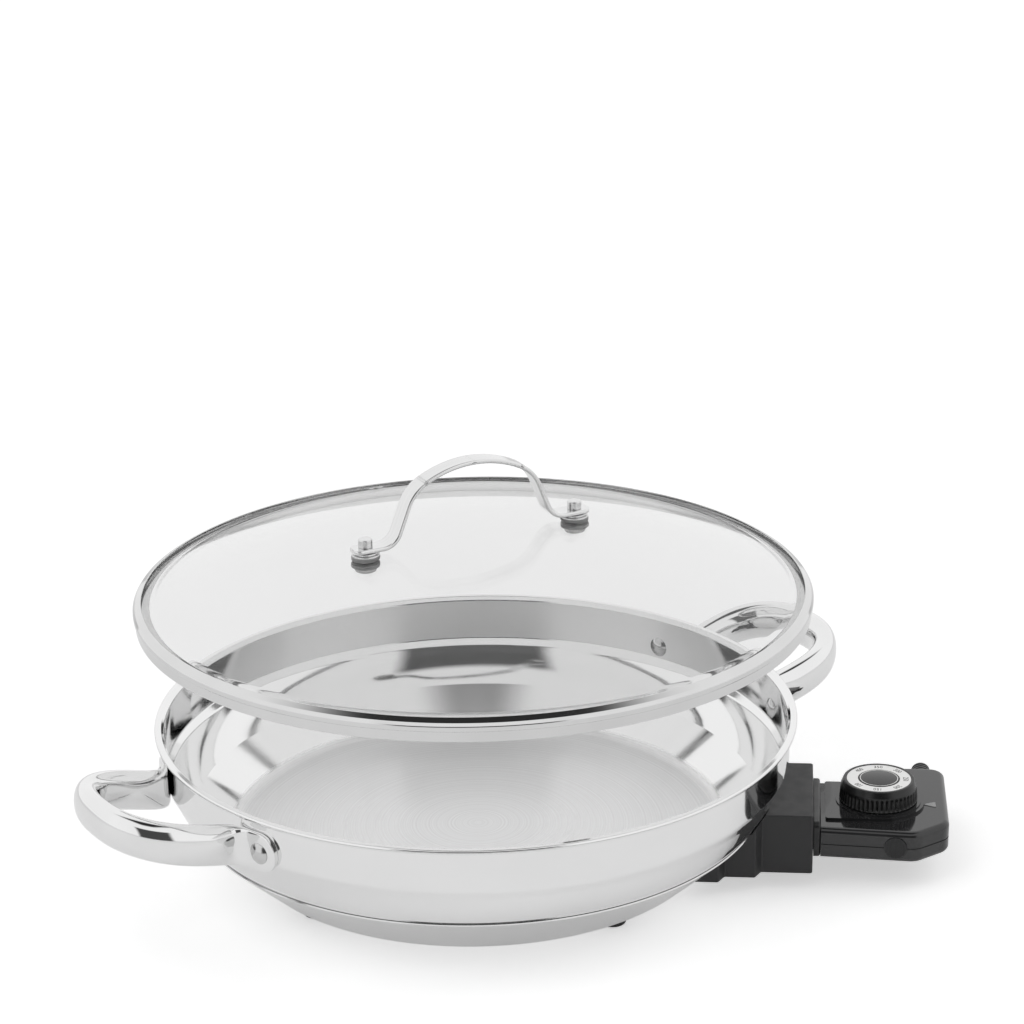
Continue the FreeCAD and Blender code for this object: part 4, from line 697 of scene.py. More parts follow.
@dataclass
class Pan:
    """Drawn pan with its base shell and feet.

    Radii and heights are those of the outer skin, from the axis and over the table, in millimetres.

    Attributes:
        sheet: Thickness of the pan's sheet.
        lip_r: Radius over the rolled lip.
        lip_t: Height of the roll.
        lip_drop: How far under the rim the wall starts to bend into the lip.
        lip_flare: How far the rim's inner edge stands outside the wall's inner face.
        lip_round: Corner radius of the roll, as a share of its height.
        wall_r: Radius of the straight wall.
        ledge_r: Radius under the ledge.
        crease_r: Radius where the flank meets the base.
        base_r: Radius of the base's flat bottom.
        rim_z: Height of the rim.
        ledge_z: Height at which the wall steps in.
        flank_z: Height under the ledge.
        crease_z: Height of the crease.
        floor_z: Height of the cooking floor.
        base_z: Height of the base's bottom.
        cover_t: Thickness of the base shell.
        lap: Distance of the base's cone from the crease.
        bulge: How far the flank swells past a straight line.
        soft_ledge: The outside's two ledge corners, eased: radius, height and corner radius.
        foot_circle: Radius of the circle that the feet stand on.
        foot_rs: A foot's radius on the table and at the base.
        foot_well: Radius and depth of a foot's screw well.
        fit: Gap between two fitted pieces.
        body: Body of all its pieces.
    """

    sheet: float = 1.2
    lip_r: float = 153.0
    lip_t: float = 2.2
    lip_drop: float = 2.0
    lip_flare: float = 1.6
    lip_round: float = 0.48
    wall_r: float = 149.6
    ledge_r: float = 146.8
    crease_r: float = 136.2
    base_r: float = 112.0
    rim_z: float = 76.0
    ledge_z: float = 52.5
    flank_z: float = 49.2
    crease_z: float = 31.2
    floor_z: float = 16.0
    base_z: float = 7.5
    cover_t: float = 0.8
    lap: float = 0.85
    bulge: float = 1.6
    soft_ledge: tuple[tuple[float, float, float], ...] = ((149.6, 54.2, 6.0), (146.95, 49.3, 8.0))
    foot_circle: float = 98.0
    foot_rs: tuple[float, float] = (6.2, 7.2)
    foot_well: tuple[float, float] = (3.4, 3.2)
    fit: float = 0.05
    body: str = "base"

    @property
    def cone_run(self) -> float:
        """Run of the base's cone for each millimetre that it rises."""
        run, drop = self.crease_r - self.base_r, self.crease_z - self.base_z
        cone = math.atan2(drop, run) - math.asin(self.lap / math.hypot(run, drop))
        return math.cos(cone) / math.sin(cone)

    def skin(self) -> Array:
        """Outer skin from under the lip to the axis: rows of radius, height and corner radius."""
        flank = np.array([self.ledge_r - self.crease_r, self.flank_z - self.crease_z])
        normal = np.array([flank[1], -flank[0]]) / np.linalg.norm(flank)
        middle = np.array([self.crease_r, self.crease_z]) + flank / 2.0 + normal * self.bulge
        floor_r = self.crease_r - (self.crease_z - self.floor_z + self.sheet) * self.cone_run
        return np.array([
            [self.wall_r, self.rim_z - self.lip_t, 0.8],
            [self.wall_r, self.ledge_z, 2.6],
            [self.ledge_r, self.flank_z, 2.6],
            [middle[0], middle[1], 60.0],
            [self.crease_r, self.crease_z, 1.5],
            [floor_r, self.floor_z - self.sheet, 9.2],
            [0.0, self.floor_z - self.sheet, 0.0],
        ])

    def shell(self) -> None:
        """Pan as one turned sheet: inside, rolled lip and outside.

        The inside is the outer skin moved in by the sheet, with its bends tighter or wider by it.
        """
        skin = self.skin()
        inside = shifted(skin[:, :2], -self.sheet)
        bends = np.array([0.0, -1.0, 1.0, -1.0, 0.0, -1.0, 0.0]) * self.sheet
        inner = np.column_stack([inside, np.maximum(skin[:, 2] + bends, 0.0)])
        start_r, edge = inside[0, 0], self.lip_t * self.lip_round
        lip = np.array([
            [start_r, self.rim_z - self.lip_drop, 1.5],
            [start_r + self.lip_flare, self.rim_z, 0.8],
            [self.lip_r, self.rim_z, edge],
            [self.lip_r, self.rim_z - self.lip_t, edge],
        ])
        skin[1:3] = self.soft_ledge
        profile = rounded(np.vstack([inner[:0:-1], lip, skin]), closed=False, steps=10)
        make_piece("pan_shell", [turned(profile, 320)], PAN_STEEL, self.body, ["pan_body"])

    def base(self) -> None:
        """Base shell: a shallow cup that laps the pan from the crease down."""
        top_r = self.base_r + (self.crease_z - self.base_z) * self.cone_run
        outer = np.array([[top_r, self.crease_z], [self.base_r, self.base_z], [0.0, self.base_z]])
        inner = shifted(outer, -self.cover_t)
        corners = np.vstack([
            np.column_stack([inner[::-1], [0.0, 2.2, 0.1]]),
            np.column_stack([outer, [0.15, 3.0, 0.0]]),
        ])
        profile = rounded(corners, closed=False, steps=10, guard=0.1)
        make_piece("base_shell", [turned(profile, 320)], BASE_STEEL, self.body, ["base_cover"])

    def feet(self) -> None:
        """Four moulded feet, each a turned button with a screw well."""
        (well_r, well_h), (low_r, high_r), top = self.foot_well, self.foot_rs, self.base_z - self.fit
        corners = np.array([
            [0.0, well_h, 0.0], [well_r, well_h, 0.3], [well_r, 0.0, 0.3],
            [low_r, 0.0, 1.4], [high_r, top, 0.6], [0.0, top, 0.0],
        ])
        foot = turned(rounded(corners, closed=False, steps=6), 48)
        spread = [
            moved(foot, face_turn(45.0 + 90.0 * i) @ Matrix.Translation((self.foot_circle, 0.0, 0.0)))
            for i in range(4)
        ]
        # The feet's finish is the bracket phenolic darkened by painted shade.
        make_piece("moulded_feet", spread, FOOT_SHADED_BLACK, self.body, ["feet"])

    def build(self) -> None:
        """Makes the pan's pieces."""
        self.shell()
        self.base()
        self.feet()


class Side(Enum):
    """Which side a loop handle stands on, as an azimuth in degrees."""

    RIGHT = 37.5
    LEFT = 217.5


@dataclass
class LoopHandles:
    """Two loops of flattened steel tube with a round pad at each end, and their rivets.

    Attributes:
        wall_r: Radius of the pan's wall.
        sheet: Thickness of the pan's sheet.
        fit: Gap between two fitted pieces.
        pad_t: Thickness of a pad.
        pad_flat: How far a pad stays on the wall past its rivet.
        tube_h: Height of the tube's section.
        tube_w: Width of the tube's section.
        start: Distance from the axis at which the loop's arch starts.
        reach: Distance from the axis of the tube's middle line at its far end.
        half_w: Half the width between the legs' middle lines.
        pad_spread: How far a rivet stands outside its leg.
        arch_power: Squareness of the arch; 2 is an ellipse.
        oval_power: Squareness of the tube's section.
        tilt: Angle in degrees by which the loop rises outwards.
        rivet_z: Height of the rivets.
        rivet_r: Radius of a rivet's head.
        rivet_t: Height of its dome.
        shank_r: Radius of its shank.
        row_step: Distance between two rows of the mesh.
        body: Body of all its pieces.
    """

    wall_r: float = 149.6
    sheet: float = 1.2
    fit: float = 0.05
    pad_t: float = 2.4
    pad_flat: float = 5.32
    tube_h: float = 19.0
    tube_w: float = 12.0
    start: float = 165.6
    reach: float = 198.0
    half_w: float = 35.2
    pad_spread: float = 13.4
    arch_power: float = 2.4
    oval_power: float = 2.2
    tilt: float = 15.5
    rivet_z: float = 59.2
    rivet_r: float = 5.0
    rivet_t: float = 2.2
    shank_r: float = 3.0
    row_step: float = 1.1
    body: str = "base"

    @property
    def pad_in_r(self) -> float:
        """Inner radius of the pads."""
        return self.wall_r + self.fit

    @property
    def rivet_angle(self) -> float:
        """Angle in radians from the handle's middle to a rivet."""
        return math.asin((self.half_w + self.pad_spread) / (self.pad_in_r + self.pad_t / 2.0))

    def pad(self, inwards: Array, power: Array) -> tuple[Array, Array]:
        """Rows that lie on the wall.

        Args:
            inwards: Lengths along the wall from the rivet to the handle's middle.
            power: Squareness of the section at each row.

        Returns:
            Rows of x, y, z, lean, width and squareness, and their tangents.
        """
        angle = self.rivet_angle - inwards / (self.pad_in_r + self.pad_t)
        radius = self.pad_in_r + self.pad_t / 2.0
        even = np.ones_like(angle)
        rows = np.stack([
            radius * np.cos(angle), radius * np.sin(angle), self.rivet_z * even,
            0.0 * even, self.pad_t * even, power,
        ], axis=1)
        return rows, np.stack([np.sin(angle), -np.cos(angle), 0.0 * even], axis=1)

    def leg(self) -> Array:
        """Rows from the flat pad to the full tube, along a Bezier curve of four points.

        The curve leaves the wall along it and ends along the loop. The width grows by
        t ^ 1.4 * (2.4 - 1.4 t).

        Returns:
            Rows of x, y, z, lean, width and squareness.
        """
        first, along = self.pad(np.array([self.pad_flat]), np.array([4.0]))
        slope = math.tan(math.radians(self.tilt))
        end = np.array([self.start, self.half_w, self.rivet_z + (self.start - self.wall_r) * slope])
        begin = first[0, :3]
        half = np.linalg.norm(end - begin) / 2.0
        rise = np.array([1.0, 0.0, slope])
        bends = np.stack([begin, begin + along[0] * half, end - rise * half, end])
        t = np.linspace(0.0, 1.0, 60, endpoint=False)[:, None]
        weights = np.hstack([(1.0 - t) ** 3, 3.0 * t * (1.0 - t) ** 2, 3.0 * t**2 * (1.0 - t), t**3])
        ease = t**1.4 * (2.4 - 1.4 * t)
        width = self.pad_t + (self.tube_w - self.pad_t) * ease
        power = 4.0 - (4.0 - self.oval_power) * ease
        return np.hstack([weights @ bends, math.radians(self.tilt) * ease, width, power])

    def arch(self) -> Array:
        """Rows round half of the loop: x grows by |sin t| ^ (2 / n) and y by |cos t| ^ (2 / n)."""
        t = np.linspace(0.0, math.pi / 2.0, 240)
        x = self.start + (self.reach - self.start) * np.sin(t) ** (2.0 / self.arch_power)
        y = np.abs(np.cos(t)) ** (2.0 / self.arch_power) * self.half_w
        tilt = math.radians(self.tilt)
        z = self.rivet_z + (x - self.wall_r) * math.tan(tilt)
        even = np.ones_like(t)
        return np.stack([x, y, z, tilt * even, self.tube_w * even, self.oval_power * even], axis=1)

    def loop(self) -> Surface:
        """One handle along +X: an oval carried from one pad round the loop to the other.

        The section is |u| = |cos| ^ (2 / n) * width / 2 and |w| = |sin| ^ (2 / n) * height / 2. The
        height falls to nothing along a half circle past each rivet.

        Returns:
            The closed tube.
        """
        flip = np.array([1.0, -1.0, 1.0, 1.0, 1.0, 1.0])
        inwards = np.linspace(0.0, self.pad_flat, 12, endpoint=False)
        flat = self.pad(inwards, np.linspace(7.0, 4.0, len(inwards)))[0]
        side = np.vstack([flat, self.leg(), self.arch()])
        rows, tangent = even_rows(np.vstack([side, side[-2::-1] * flip]), self.row_step)
        half, ends = self.tube_h / 2.0, 16
        back = -half * np.cos(np.linspace(0.0, math.pi / 2.0, ends, endpoint=False))
        tip, aside = self.pad(back, np.full(ends, 7.0))
        rows = np.vstack([tip, rows, tip[::-1] * flip])
        tangent = np.vstack([aside, tangent, aside[::-1] * flip[:3] * -1.0])
        height = np.full(len(rows), half)
        height[:ends] = np.sqrt(np.maximum(half**2 - back**2, 0.0))
        height[-ends:] = height[:ends][::-1]
        lean = rows[:, 3]
        across = unit(np.stack([tangent[:, 1], -tangent[:, 0], 0.0 * lean], axis=1))
        up = np.stack([-np.sin(lean), 0.0 * lean, np.cos(lean)], axis=1)
        up = unit(up - across * np.sum(up * across, axis=1, keepdims=True))
        angle = np.linspace(0.0, TURN, 64, endpoint=False)[None, :]
        power = 2.0 / rows[:, 5:6]
        u = np.sign(np.cos(angle)) * np.abs(np.cos(angle)) ** power * rows[:, 4:5] / 2.0
        w = np.sign(np.sin(angle)) * np.abs(np.sin(angle)) ** power * height[:, None]
        return swept(rows[:, :3], across, up, np.stack([u, w], axis=-1))

    def rivet(self) -> Surface:
        """Domed rivet along +X: two caps of a ball joined by a shank."""
        ball = (self.rivet_r**2 + self.rivet_t**2) / (2.0 * self.rivet_t)
        angle = np.linspace(0.0, math.asin(self.rivet_r / ball), 12)
        outer = self.wall_r + 2 * self.fit + self.pad_t
        inner = self.wall_r - self.sheet - 2 * self.fit
        cap = np.stack([ball * np.sin(angle), ball * np.cos(angle) - ball + self.rivet_t], axis=1)
        shank = [[self.rivet_r, outer], [self.shank_r, outer], [self.shank_r, inner], [self.rivet_r, inner]]
        profile = np.vstack([cap + [0.0, outer], shank, cap[::-1] * [1.0, -1.0] + [0.0, inner]])
        upright = turned(profile, 48)
        return Surface(upright.points[..., [2, 1, 0]] * np.array([1.0, 1.0, -1.0]), wrap_rows=True)

    def build(self) -> None:
        """Makes both loops and the four rivets."""
        loop = self.loop()
        for side, name in ((Side.RIGHT, "right_handle"), (Side.LEFT, "left_handle")):
            placed = [moved(loop, face_turn(side.value))]
            make_piece(name + "_loop", placed, LOOP_STEEL, self.body, [name], 50.0)
        lift = Matrix.Translation((0.0, 0.0, self.rivet_z))
        turns = [side.value + sign * math.degrees(self.rivet_angle) for side in Side for sign in (-1, 1)]
        rivets = [moved(self.rivet(), lift @ face_turn(turn)) for turn in turns]
        make_piece("handle_rivets_domed", rivets, RIVET_STEEL, self.body, ["handle_rivets"])


@dataclass
class GlassLid:
    """Domed glass in a rolled steel ring, with a steam eyelet.

    Attributes:
        seat_z: Height of the ring's underside.
        ring_r: Outer radius of the ring.
        ring_h: Height of the ring over its underside.
        ring_t: Thickness of its strip.
        lip_w: Width of its upper lip.
        fall: How far the upper lip falls outwards.
        skirt_inset: How far the skirt stands inside the ring.
        skirt_t: Thickness of the skirt.
        skirt_h: Height of the skirt.
        skirt_splay: How far the skirt's foot stands outside its top.
        seat_w: Width of the seat under the glass.
        play: Room round the glass's edge.
        glass_t: Thickness of the glass.
        glass_inset: How far the glass's edge stands inside the ring.
        slope: Angle in degrees at which the dome leaves the flange.
        dome_r: Radius of the dome.
        foot_r: Radius of the bend between dome and flange.
        vent_inset: How far the eyelet stands inside the ring.
        vent_azimuth: Direction of the eyelet in degrees.
        vent_rs: The eyelet's radii: bore, shank, lower flange and upper flange.
        vent_t: Thickness of its flanges.
        fit: Gap between two fitted pieces.
        body: Body of all its pieces.
    """

    seat_z: float = 134.3
    ring_r: float = 159.1
    ring_h: float = 5.9
    ring_t: float = 0.8
    lip_w: float = 4.0
    fall: float = 1.85
    skirt_inset: float = 1.2
    skirt_t: float = 0.9
    skirt_h: float = 4.7
    skirt_splay: float = 0.4
    seat_w: float = 8.1
    play: float = 0.3
    glass_t: float = 4.0
    glass_inset: float = 1.9
    slope: float = 20.0
    dome_r: float = 433.6
    foot_r: float = 8.0
    vent_inset: float = 21.1
    vent_azimuth: float = 116.7
    vent_rs: tuple[float, float, float, float] = (1.3, 2.4, 3.4, 3.8)
    vent_t: float = 0.6
    fit: float = 0.05
    body: str = "lid"

    @property
    def flange_top(self) -> float:
        """Height of the glass's flat edge."""
        return self.seat_z + self.ring_t + self.fit + self.glass_t

    @property
    def tangent_r(self) -> float:
        """Radius at which the dome's apex plane meets its slope."""
        return self.dome_r * math.tan(math.radians(self.slope) / 2.0)

    @property
    def apex_z(self) -> float:
        """Height of the dome's top."""
        run = self.ring_r - self.seat_w - self.tangent_r
        return self.flange_top + run * math.tan(math.radians(self.slope))

    def dome_z(self, radius: float, depth: float = 0.0) -> float:
        """Height of the dome at a radius, depth under its outer face."""
        return self.apex_z - self.dome_r + math.sqrt((self.dome_r - depth) ** 2 - radius**2)

    def ring(self) -> None:
        """Ring as one rolled section: upper lip, round shoulder, lower lip and skirt."""
        r, z = self.ring_r, self.seat_z
        inner, low = r - self.lip_w, r - self.seat_w
        skirt, pocket = r - self.skirt_inset, r - self.glass_inset + self.play
        skirt_in, foot = skirt - self.skirt_t, z - self.skirt_h
        top, under = z + self.ring_h, 0.1
        corners = np.array([
            [inner, top, 0.3],
            [inner, top - self.ring_t - under, 0.3],
            [pocket, top - self.fall - under, 0.3],
            [pocket, z + self.ring_t, 0.8],
            [low, z + self.ring_t, 0.3],
            [low, z, 0.3],
            [skirt_in, z, 0.5],
            [skirt_in + self.skirt_splay, foot, 0.4],
            [skirt + self.skirt_splay, foot, 0.4],
            [skirt, z, 0.2],
            [r, z, 0.95],
            [r, top - 1.8 * self.fall, 1.0],
            [r - 1.0, top - self.fall, 0.9],
        ])
        profile = rounded(corners, closed=True, steps=9, guard=0.06)
        ring = [turned(profile, 320, closed=True)]
        make_piece("lid_ring", ring, RING_STEEL, self.body, ["lid_rim"])

    def glass(self) -> None:
        """Glass as a closed shell: dome of one large radius, tight foot and flat flange."""
        edge, corner = self.ring_r - self.glass_inset, self.ring_r - self.seat_w
        outer = np.array([
            [0.0, self.apex_z], [self.tangent_r, self.apex_z],
            [corner, self.flange_top], [edge, self.flange_top],
        ])
        inner = shifted(outer, -self.glass_t)
        outer = np.column_stack([outer, [0.0, self.dome_r * 0.999, self.foot_r, 1.6]])
        inner_r = (self.dome_r - self.glass_t) * 0.999
        inner = np.column_stack([inner, [0.0, inner_r, self.foot_r + self.glass_t, 1.6]])
        profile = rounded(np.vstack([outer, inner[::-1]]), closed=False, steps=26, guard=0.1)
        make_piece("lid_dome", [turned(profile, 256)], LID_GLASS, self.body, ["lid_glass"], 60.0)

    def vent(self) -> None:
        """Steam eyelet square to the dome."""
        bore, shank, lower, upper = self.vent_rs
        above, flange_top = self.fit, self.fit + self.vent_t
        below, flange_low = -self.glass_t - above, -self.glass_t - flange_top
        corners = np.array([
            [bore, flange_top, 0.2], [bore, flange_low, 0.1], [lower, flange_low, 0.2], [lower, below, 0.1],
            [shank, below, 0.0], [shank, above, 0.0], [upper, above, 0.1], [upper, flange_top, 0.3],
        ])
        eyelet = turned(rounded(corners, steps=5, guard=0.03), 48, closed=True)
        radius = self.ring_r - self.vent_inset
        lean = math.degrees(math.asin(radius / self.dome_r))
        place = face_turn(self.vent_azimuth) @ Matrix.Translation((radius, 0.0, self.dome_z(radius)))
        placed = [moved(eyelet, place @ face_turn(0.0, lean))]
        make_piece("steam_eyelet", placed, RIVET_STEEL, self.body, ["steam_vent"])

    def build(self) -> None:
        """Makes the lid's pieces."""
        self.ring()
        self.glass()
        self.vent()


@dataclass
class StrapHandle:
    """Bent steel band over the lid, with bolts, nuts, washers and gaskets.

    Attributes:
        lid: The lid that carries it.
        width: Width of the band.
        thick: Thickness of the band.
        azimuth: Direction of the band in degrees.
        height: Height of the band's middle line over the dome's top.
        crown_r: Bend radius of the crown.
        crown_drop: Angle in degrees at which the crown ends.
        shoulder_r: Bend radius of the shoulders.
        leg_drop: Angle in degrees of the legs.
        leg: Length of a leg's straight part.
        heel_r: Bend radius of the heels.
        foot: Length of a foot's straight part.
        bolt_at: Distance of a bolt from the middle.
        corner: Corner radius of the feet.
        edge: Radius of the band's long edges.
        row_step: Distance between two rows of the mesh.
        fit: Gap between two fitted pieces.
        bolt_r: Radius of a bolt.
        bolt_share: How far a bolt reaches through its nut, as a share of it.
        head_r: Radius of a bolt's head.
        head_t: Height of a bolt's head.
        nut_r: Radius of a nut.
        nut_h: Height of a nut.
        hollow_share: Depth of a nut's hollow, as a share of it.
        washer_t: Thickness of a washer.
        washer_rs: Radii of the upper and the lower washer.
        gasket_r: Radius of a gasket.
        gasket_t: Thickness of the gasket under the glass.
    """

    lid: GlassLid
    width: float = 10.0
    thick: float = 2.2
    azimuth: float = 31.7
    height: float = 35.0
    crown_r: float = 52.0
    crown_drop: float = 28.0
    shoulder_r: float = 20.0
    leg_drop: float = 68.0
    leg: float = 13.0
    heel_r: float = 9.0
    foot: float = 13.8
    bolt_at: float = 54.0
    corner: float = 3.0
    edge: float = 0.9
    row_step: float = 0.8
    fit: float = 0.05
    bolt_r: float = 2.5
    bolt_share: float = 0.6
    head_r: float = 5.0
    head_t: float = 2.2
    nut_r: float = 3.35
    nut_h: float = 3.9
    hollow_share: float = 0.65
    washer_t: float = 0.9
    washer_rs: tuple[float, float] = (5.5, 6.5)
    gasket_r: float = 6.7
    gasket_t: float = 1.5

    def path(self) -> Array:
        """Corners of the band's middle line: rows of distance, height and bend radius."""
        spot = np.array([0.0, self.lid.apex_z + self.height])
        downhill = np.array([1.0, 0.0])
        heading, rows = 0.0, []
        for drop, radius in ((self.crown_drop, self.crown_r), (self.leg_drop, self.shoulder_r)):
            reach = radius * math.tan(math.radians(drop - heading) / 2.0)
            corner = spot + reach * downhill
            rows.append([corner[0], corner[1], radius])
            heading = drop
            downhill = np.array([math.cos(math.radians(heading)), -math.sin(math.radians(heading))])
            spot = corner + reach * downhill
        reach = self.heel_r * math.tan(math.radians(heading) / 2.0)
        heel = spot + (self.leg + reach) * downhill
        rows.append([heel[0], heel[1], self.heel_r])
        rows.append([heel[0] + reach + self.foot, heel[1], 0.0])
        right = np.array(rows)
        return np.vstack([right[::-1] * [-1.0, 1.0, 1.0], right])

    def band(self) -> None:
        """Band: a rounded rectangle carried along the path, its feet cut to round corners.

        At a distance d from an end, within the corner's radius r, each edge stands in by
        r - sqrt(r^2 - (r - d)^2).
        """
        line = rounded(self.path(), closed=False, steps=48, guard=1.2)
        even, tangent = even_rows(np.column_stack([line[:, 0], 0.0 * line[:, 0], line[:, 1]]), self.row_step)
        length = np.linalg.norm(np.diff(even, axis=0), axis=1).sum()
        stops = np.linspace(0.0, length, len(even))
        ends = self.corner * (1.0 - np.cos(np.linspace(0.0, math.pi / 2.0, 9)))
        dense = np.unique(np.round(np.concatenate([stops, ends, length - ends]), 4))
        centres = np.stack([np.interp(dense, stops, column) for column in even.T], axis=1)
        tangent = unit(np.stack([np.interp(dense, stops, column) for column in tangent.T], axis=1))
        from_end = np.minimum(np.minimum(dense, dense[-1] - dense), self.corner)
        inset = self.corner - np.sqrt(np.maximum(self.corner**2 - (self.corner - from_end) ** 2, 0.0))
        w, t, edge = self.width / 2.0, self.thick / 2.0, self.edge
        section = rounded(np.array([[-w, -t, edge], [w, -t, edge], [w, t, edge], [-w, t, edge]]), steps=7)
        u = section[None, :, 0] - np.sign(section[None, :, 0]) * inset[:, None]
        v = np.repeat(section[None, :, 1], len(dense), axis=0)
        across = np.tile([0.0, 1.0, 0.0], (len(dense), 1))
        up = np.stack([-tangent[:, 2], 0.0 * dense, tangent[:, 0]], axis=1)
        band = moved(swept(centres, across, up, np.stack([u, v], axis=-1)), face_turn(self.azimuth))
        make_piece("strap_band", [band], BAND_STEEL, self.lid.body, ["lid_handle"])

    def stack(self, corners: Sequence[Sequence[float]], closed: bool = True) -> list[Surface]:
        """A turned piece on each of the two bolts.

        Args:
            corners: Its outline: rows of radius, height and corner radius.
            closed: Whether the outline never meets the axis.

        Returns:
            The two surfaces.
        """
        piece = turned(rounded(np.array(corners), closed=closed, steps=6, guard=0.05), 64, closed=closed)
        return [
            moved(piece, face_turn(self.azimuth) @ Matrix.Translation((sign * self.bolt_at, 0.0, 0.0)))
            for sign in (-1.0, 1.0)
        ]

    def washer(self, radius: float, low: float) -> list[Surface]:
        """A flat ring on both bolts.

        Args:
            radius: Its outer radius.
            low: Height of its underside.

        Returns:
            The two surfaces.
        """
        bore, top = self.bolt_r + self.fit, low + self.washer_t
        return self.stack([[bore, low, 0.1], [radius, low, 0.25], [radius, top, 0.25], [bore, top, 0.1]])

    def hardware(self) -> None:
        """Bolts, nuts, washers and gaskets through the glass."""
        lid, fit, bore = self.lid, self.fit, self.bolt_r + self.fit
        foot_z = self.path()[0, 1]
        low, top = foot_z - self.thick / 2.0, foot_z + self.thick / 2.0
        glass_top, glass_low = lid.dome_z(self.bolt_at), lid.dome_z(self.bolt_at, lid.glass_t)
        head = glass_low - self.gasket_t - 2.0 * fit
        head_low, bolt_top = head - self.head_t, top + self.bolt_share * self.nut_h
        upper, lower = low - fit - self.washer_t, low - 2.0 * (fit + self.washer_t)
        bolts = self.stack([
            [0.0, head_low, 0.0], [self.head_r, head_low, 0.8], [self.head_r, head, 0.3],
            [self.bolt_r, head, 0.1], [self.bolt_r, bolt_top, 0.3], [0.0, bolt_top, 0.0],
        ], closed=False)
        nut_low, nut_top, hollow = top + fit, top + fit + self.nut_h, top + self.hollow_share * self.nut_h
        thread = self.bolt_r + 0.02
        nuts = self.stack([
            [0.0, hollow, 0.0], [thread, hollow, 0.1], [thread, nut_low, 0.1],
            [self.nut_r, nut_low, 0.15], [self.nut_r, nut_top, 0.6], [0.0, nut_top, 0.0],
        ], closed=False)
        washers = self.washer(self.washer_rs[0], upper) + self.washer(self.washer_rs[1], lower)
        outside = lid.dome_z(self.bolt_at + self.gasket_r)
        gaskets = self.stack([
            [bore, glass_top + 0.1, 0.1], [self.gasket_r, outside + 0.4, 0.3],
            [self.gasket_r, lower - fit, 0.3], [bore, lower - fit, 0.1],
        ])
        gaskets += self.stack([
            [bore, head + fit, 0.1], [self.gasket_r, head + fit, 0.3],
            [self.gasket_r, glass_low + 0.3, 0.3], [bore, glass_low, 0.1],
        ])
        make_piece("strap_bolts", bolts, SCREW_STEEL, lid.body, ["lid_bolts"])
        make_piece("strap_nuts", nuts, NUT_STEEL, lid.body, ["lid_nuts"])
        make_piece("strap_washers", washers, NUT_STEEL, lid.body, ["lid_washers"])
        make_piece("strap_gaskets", gaskets, GASKET_RUBBER, lid.body, ["glass_gaskets"])

    def build(self) -> None:
        """Makes the strap and its fasteners."""
        self.band()
        self.hardware()


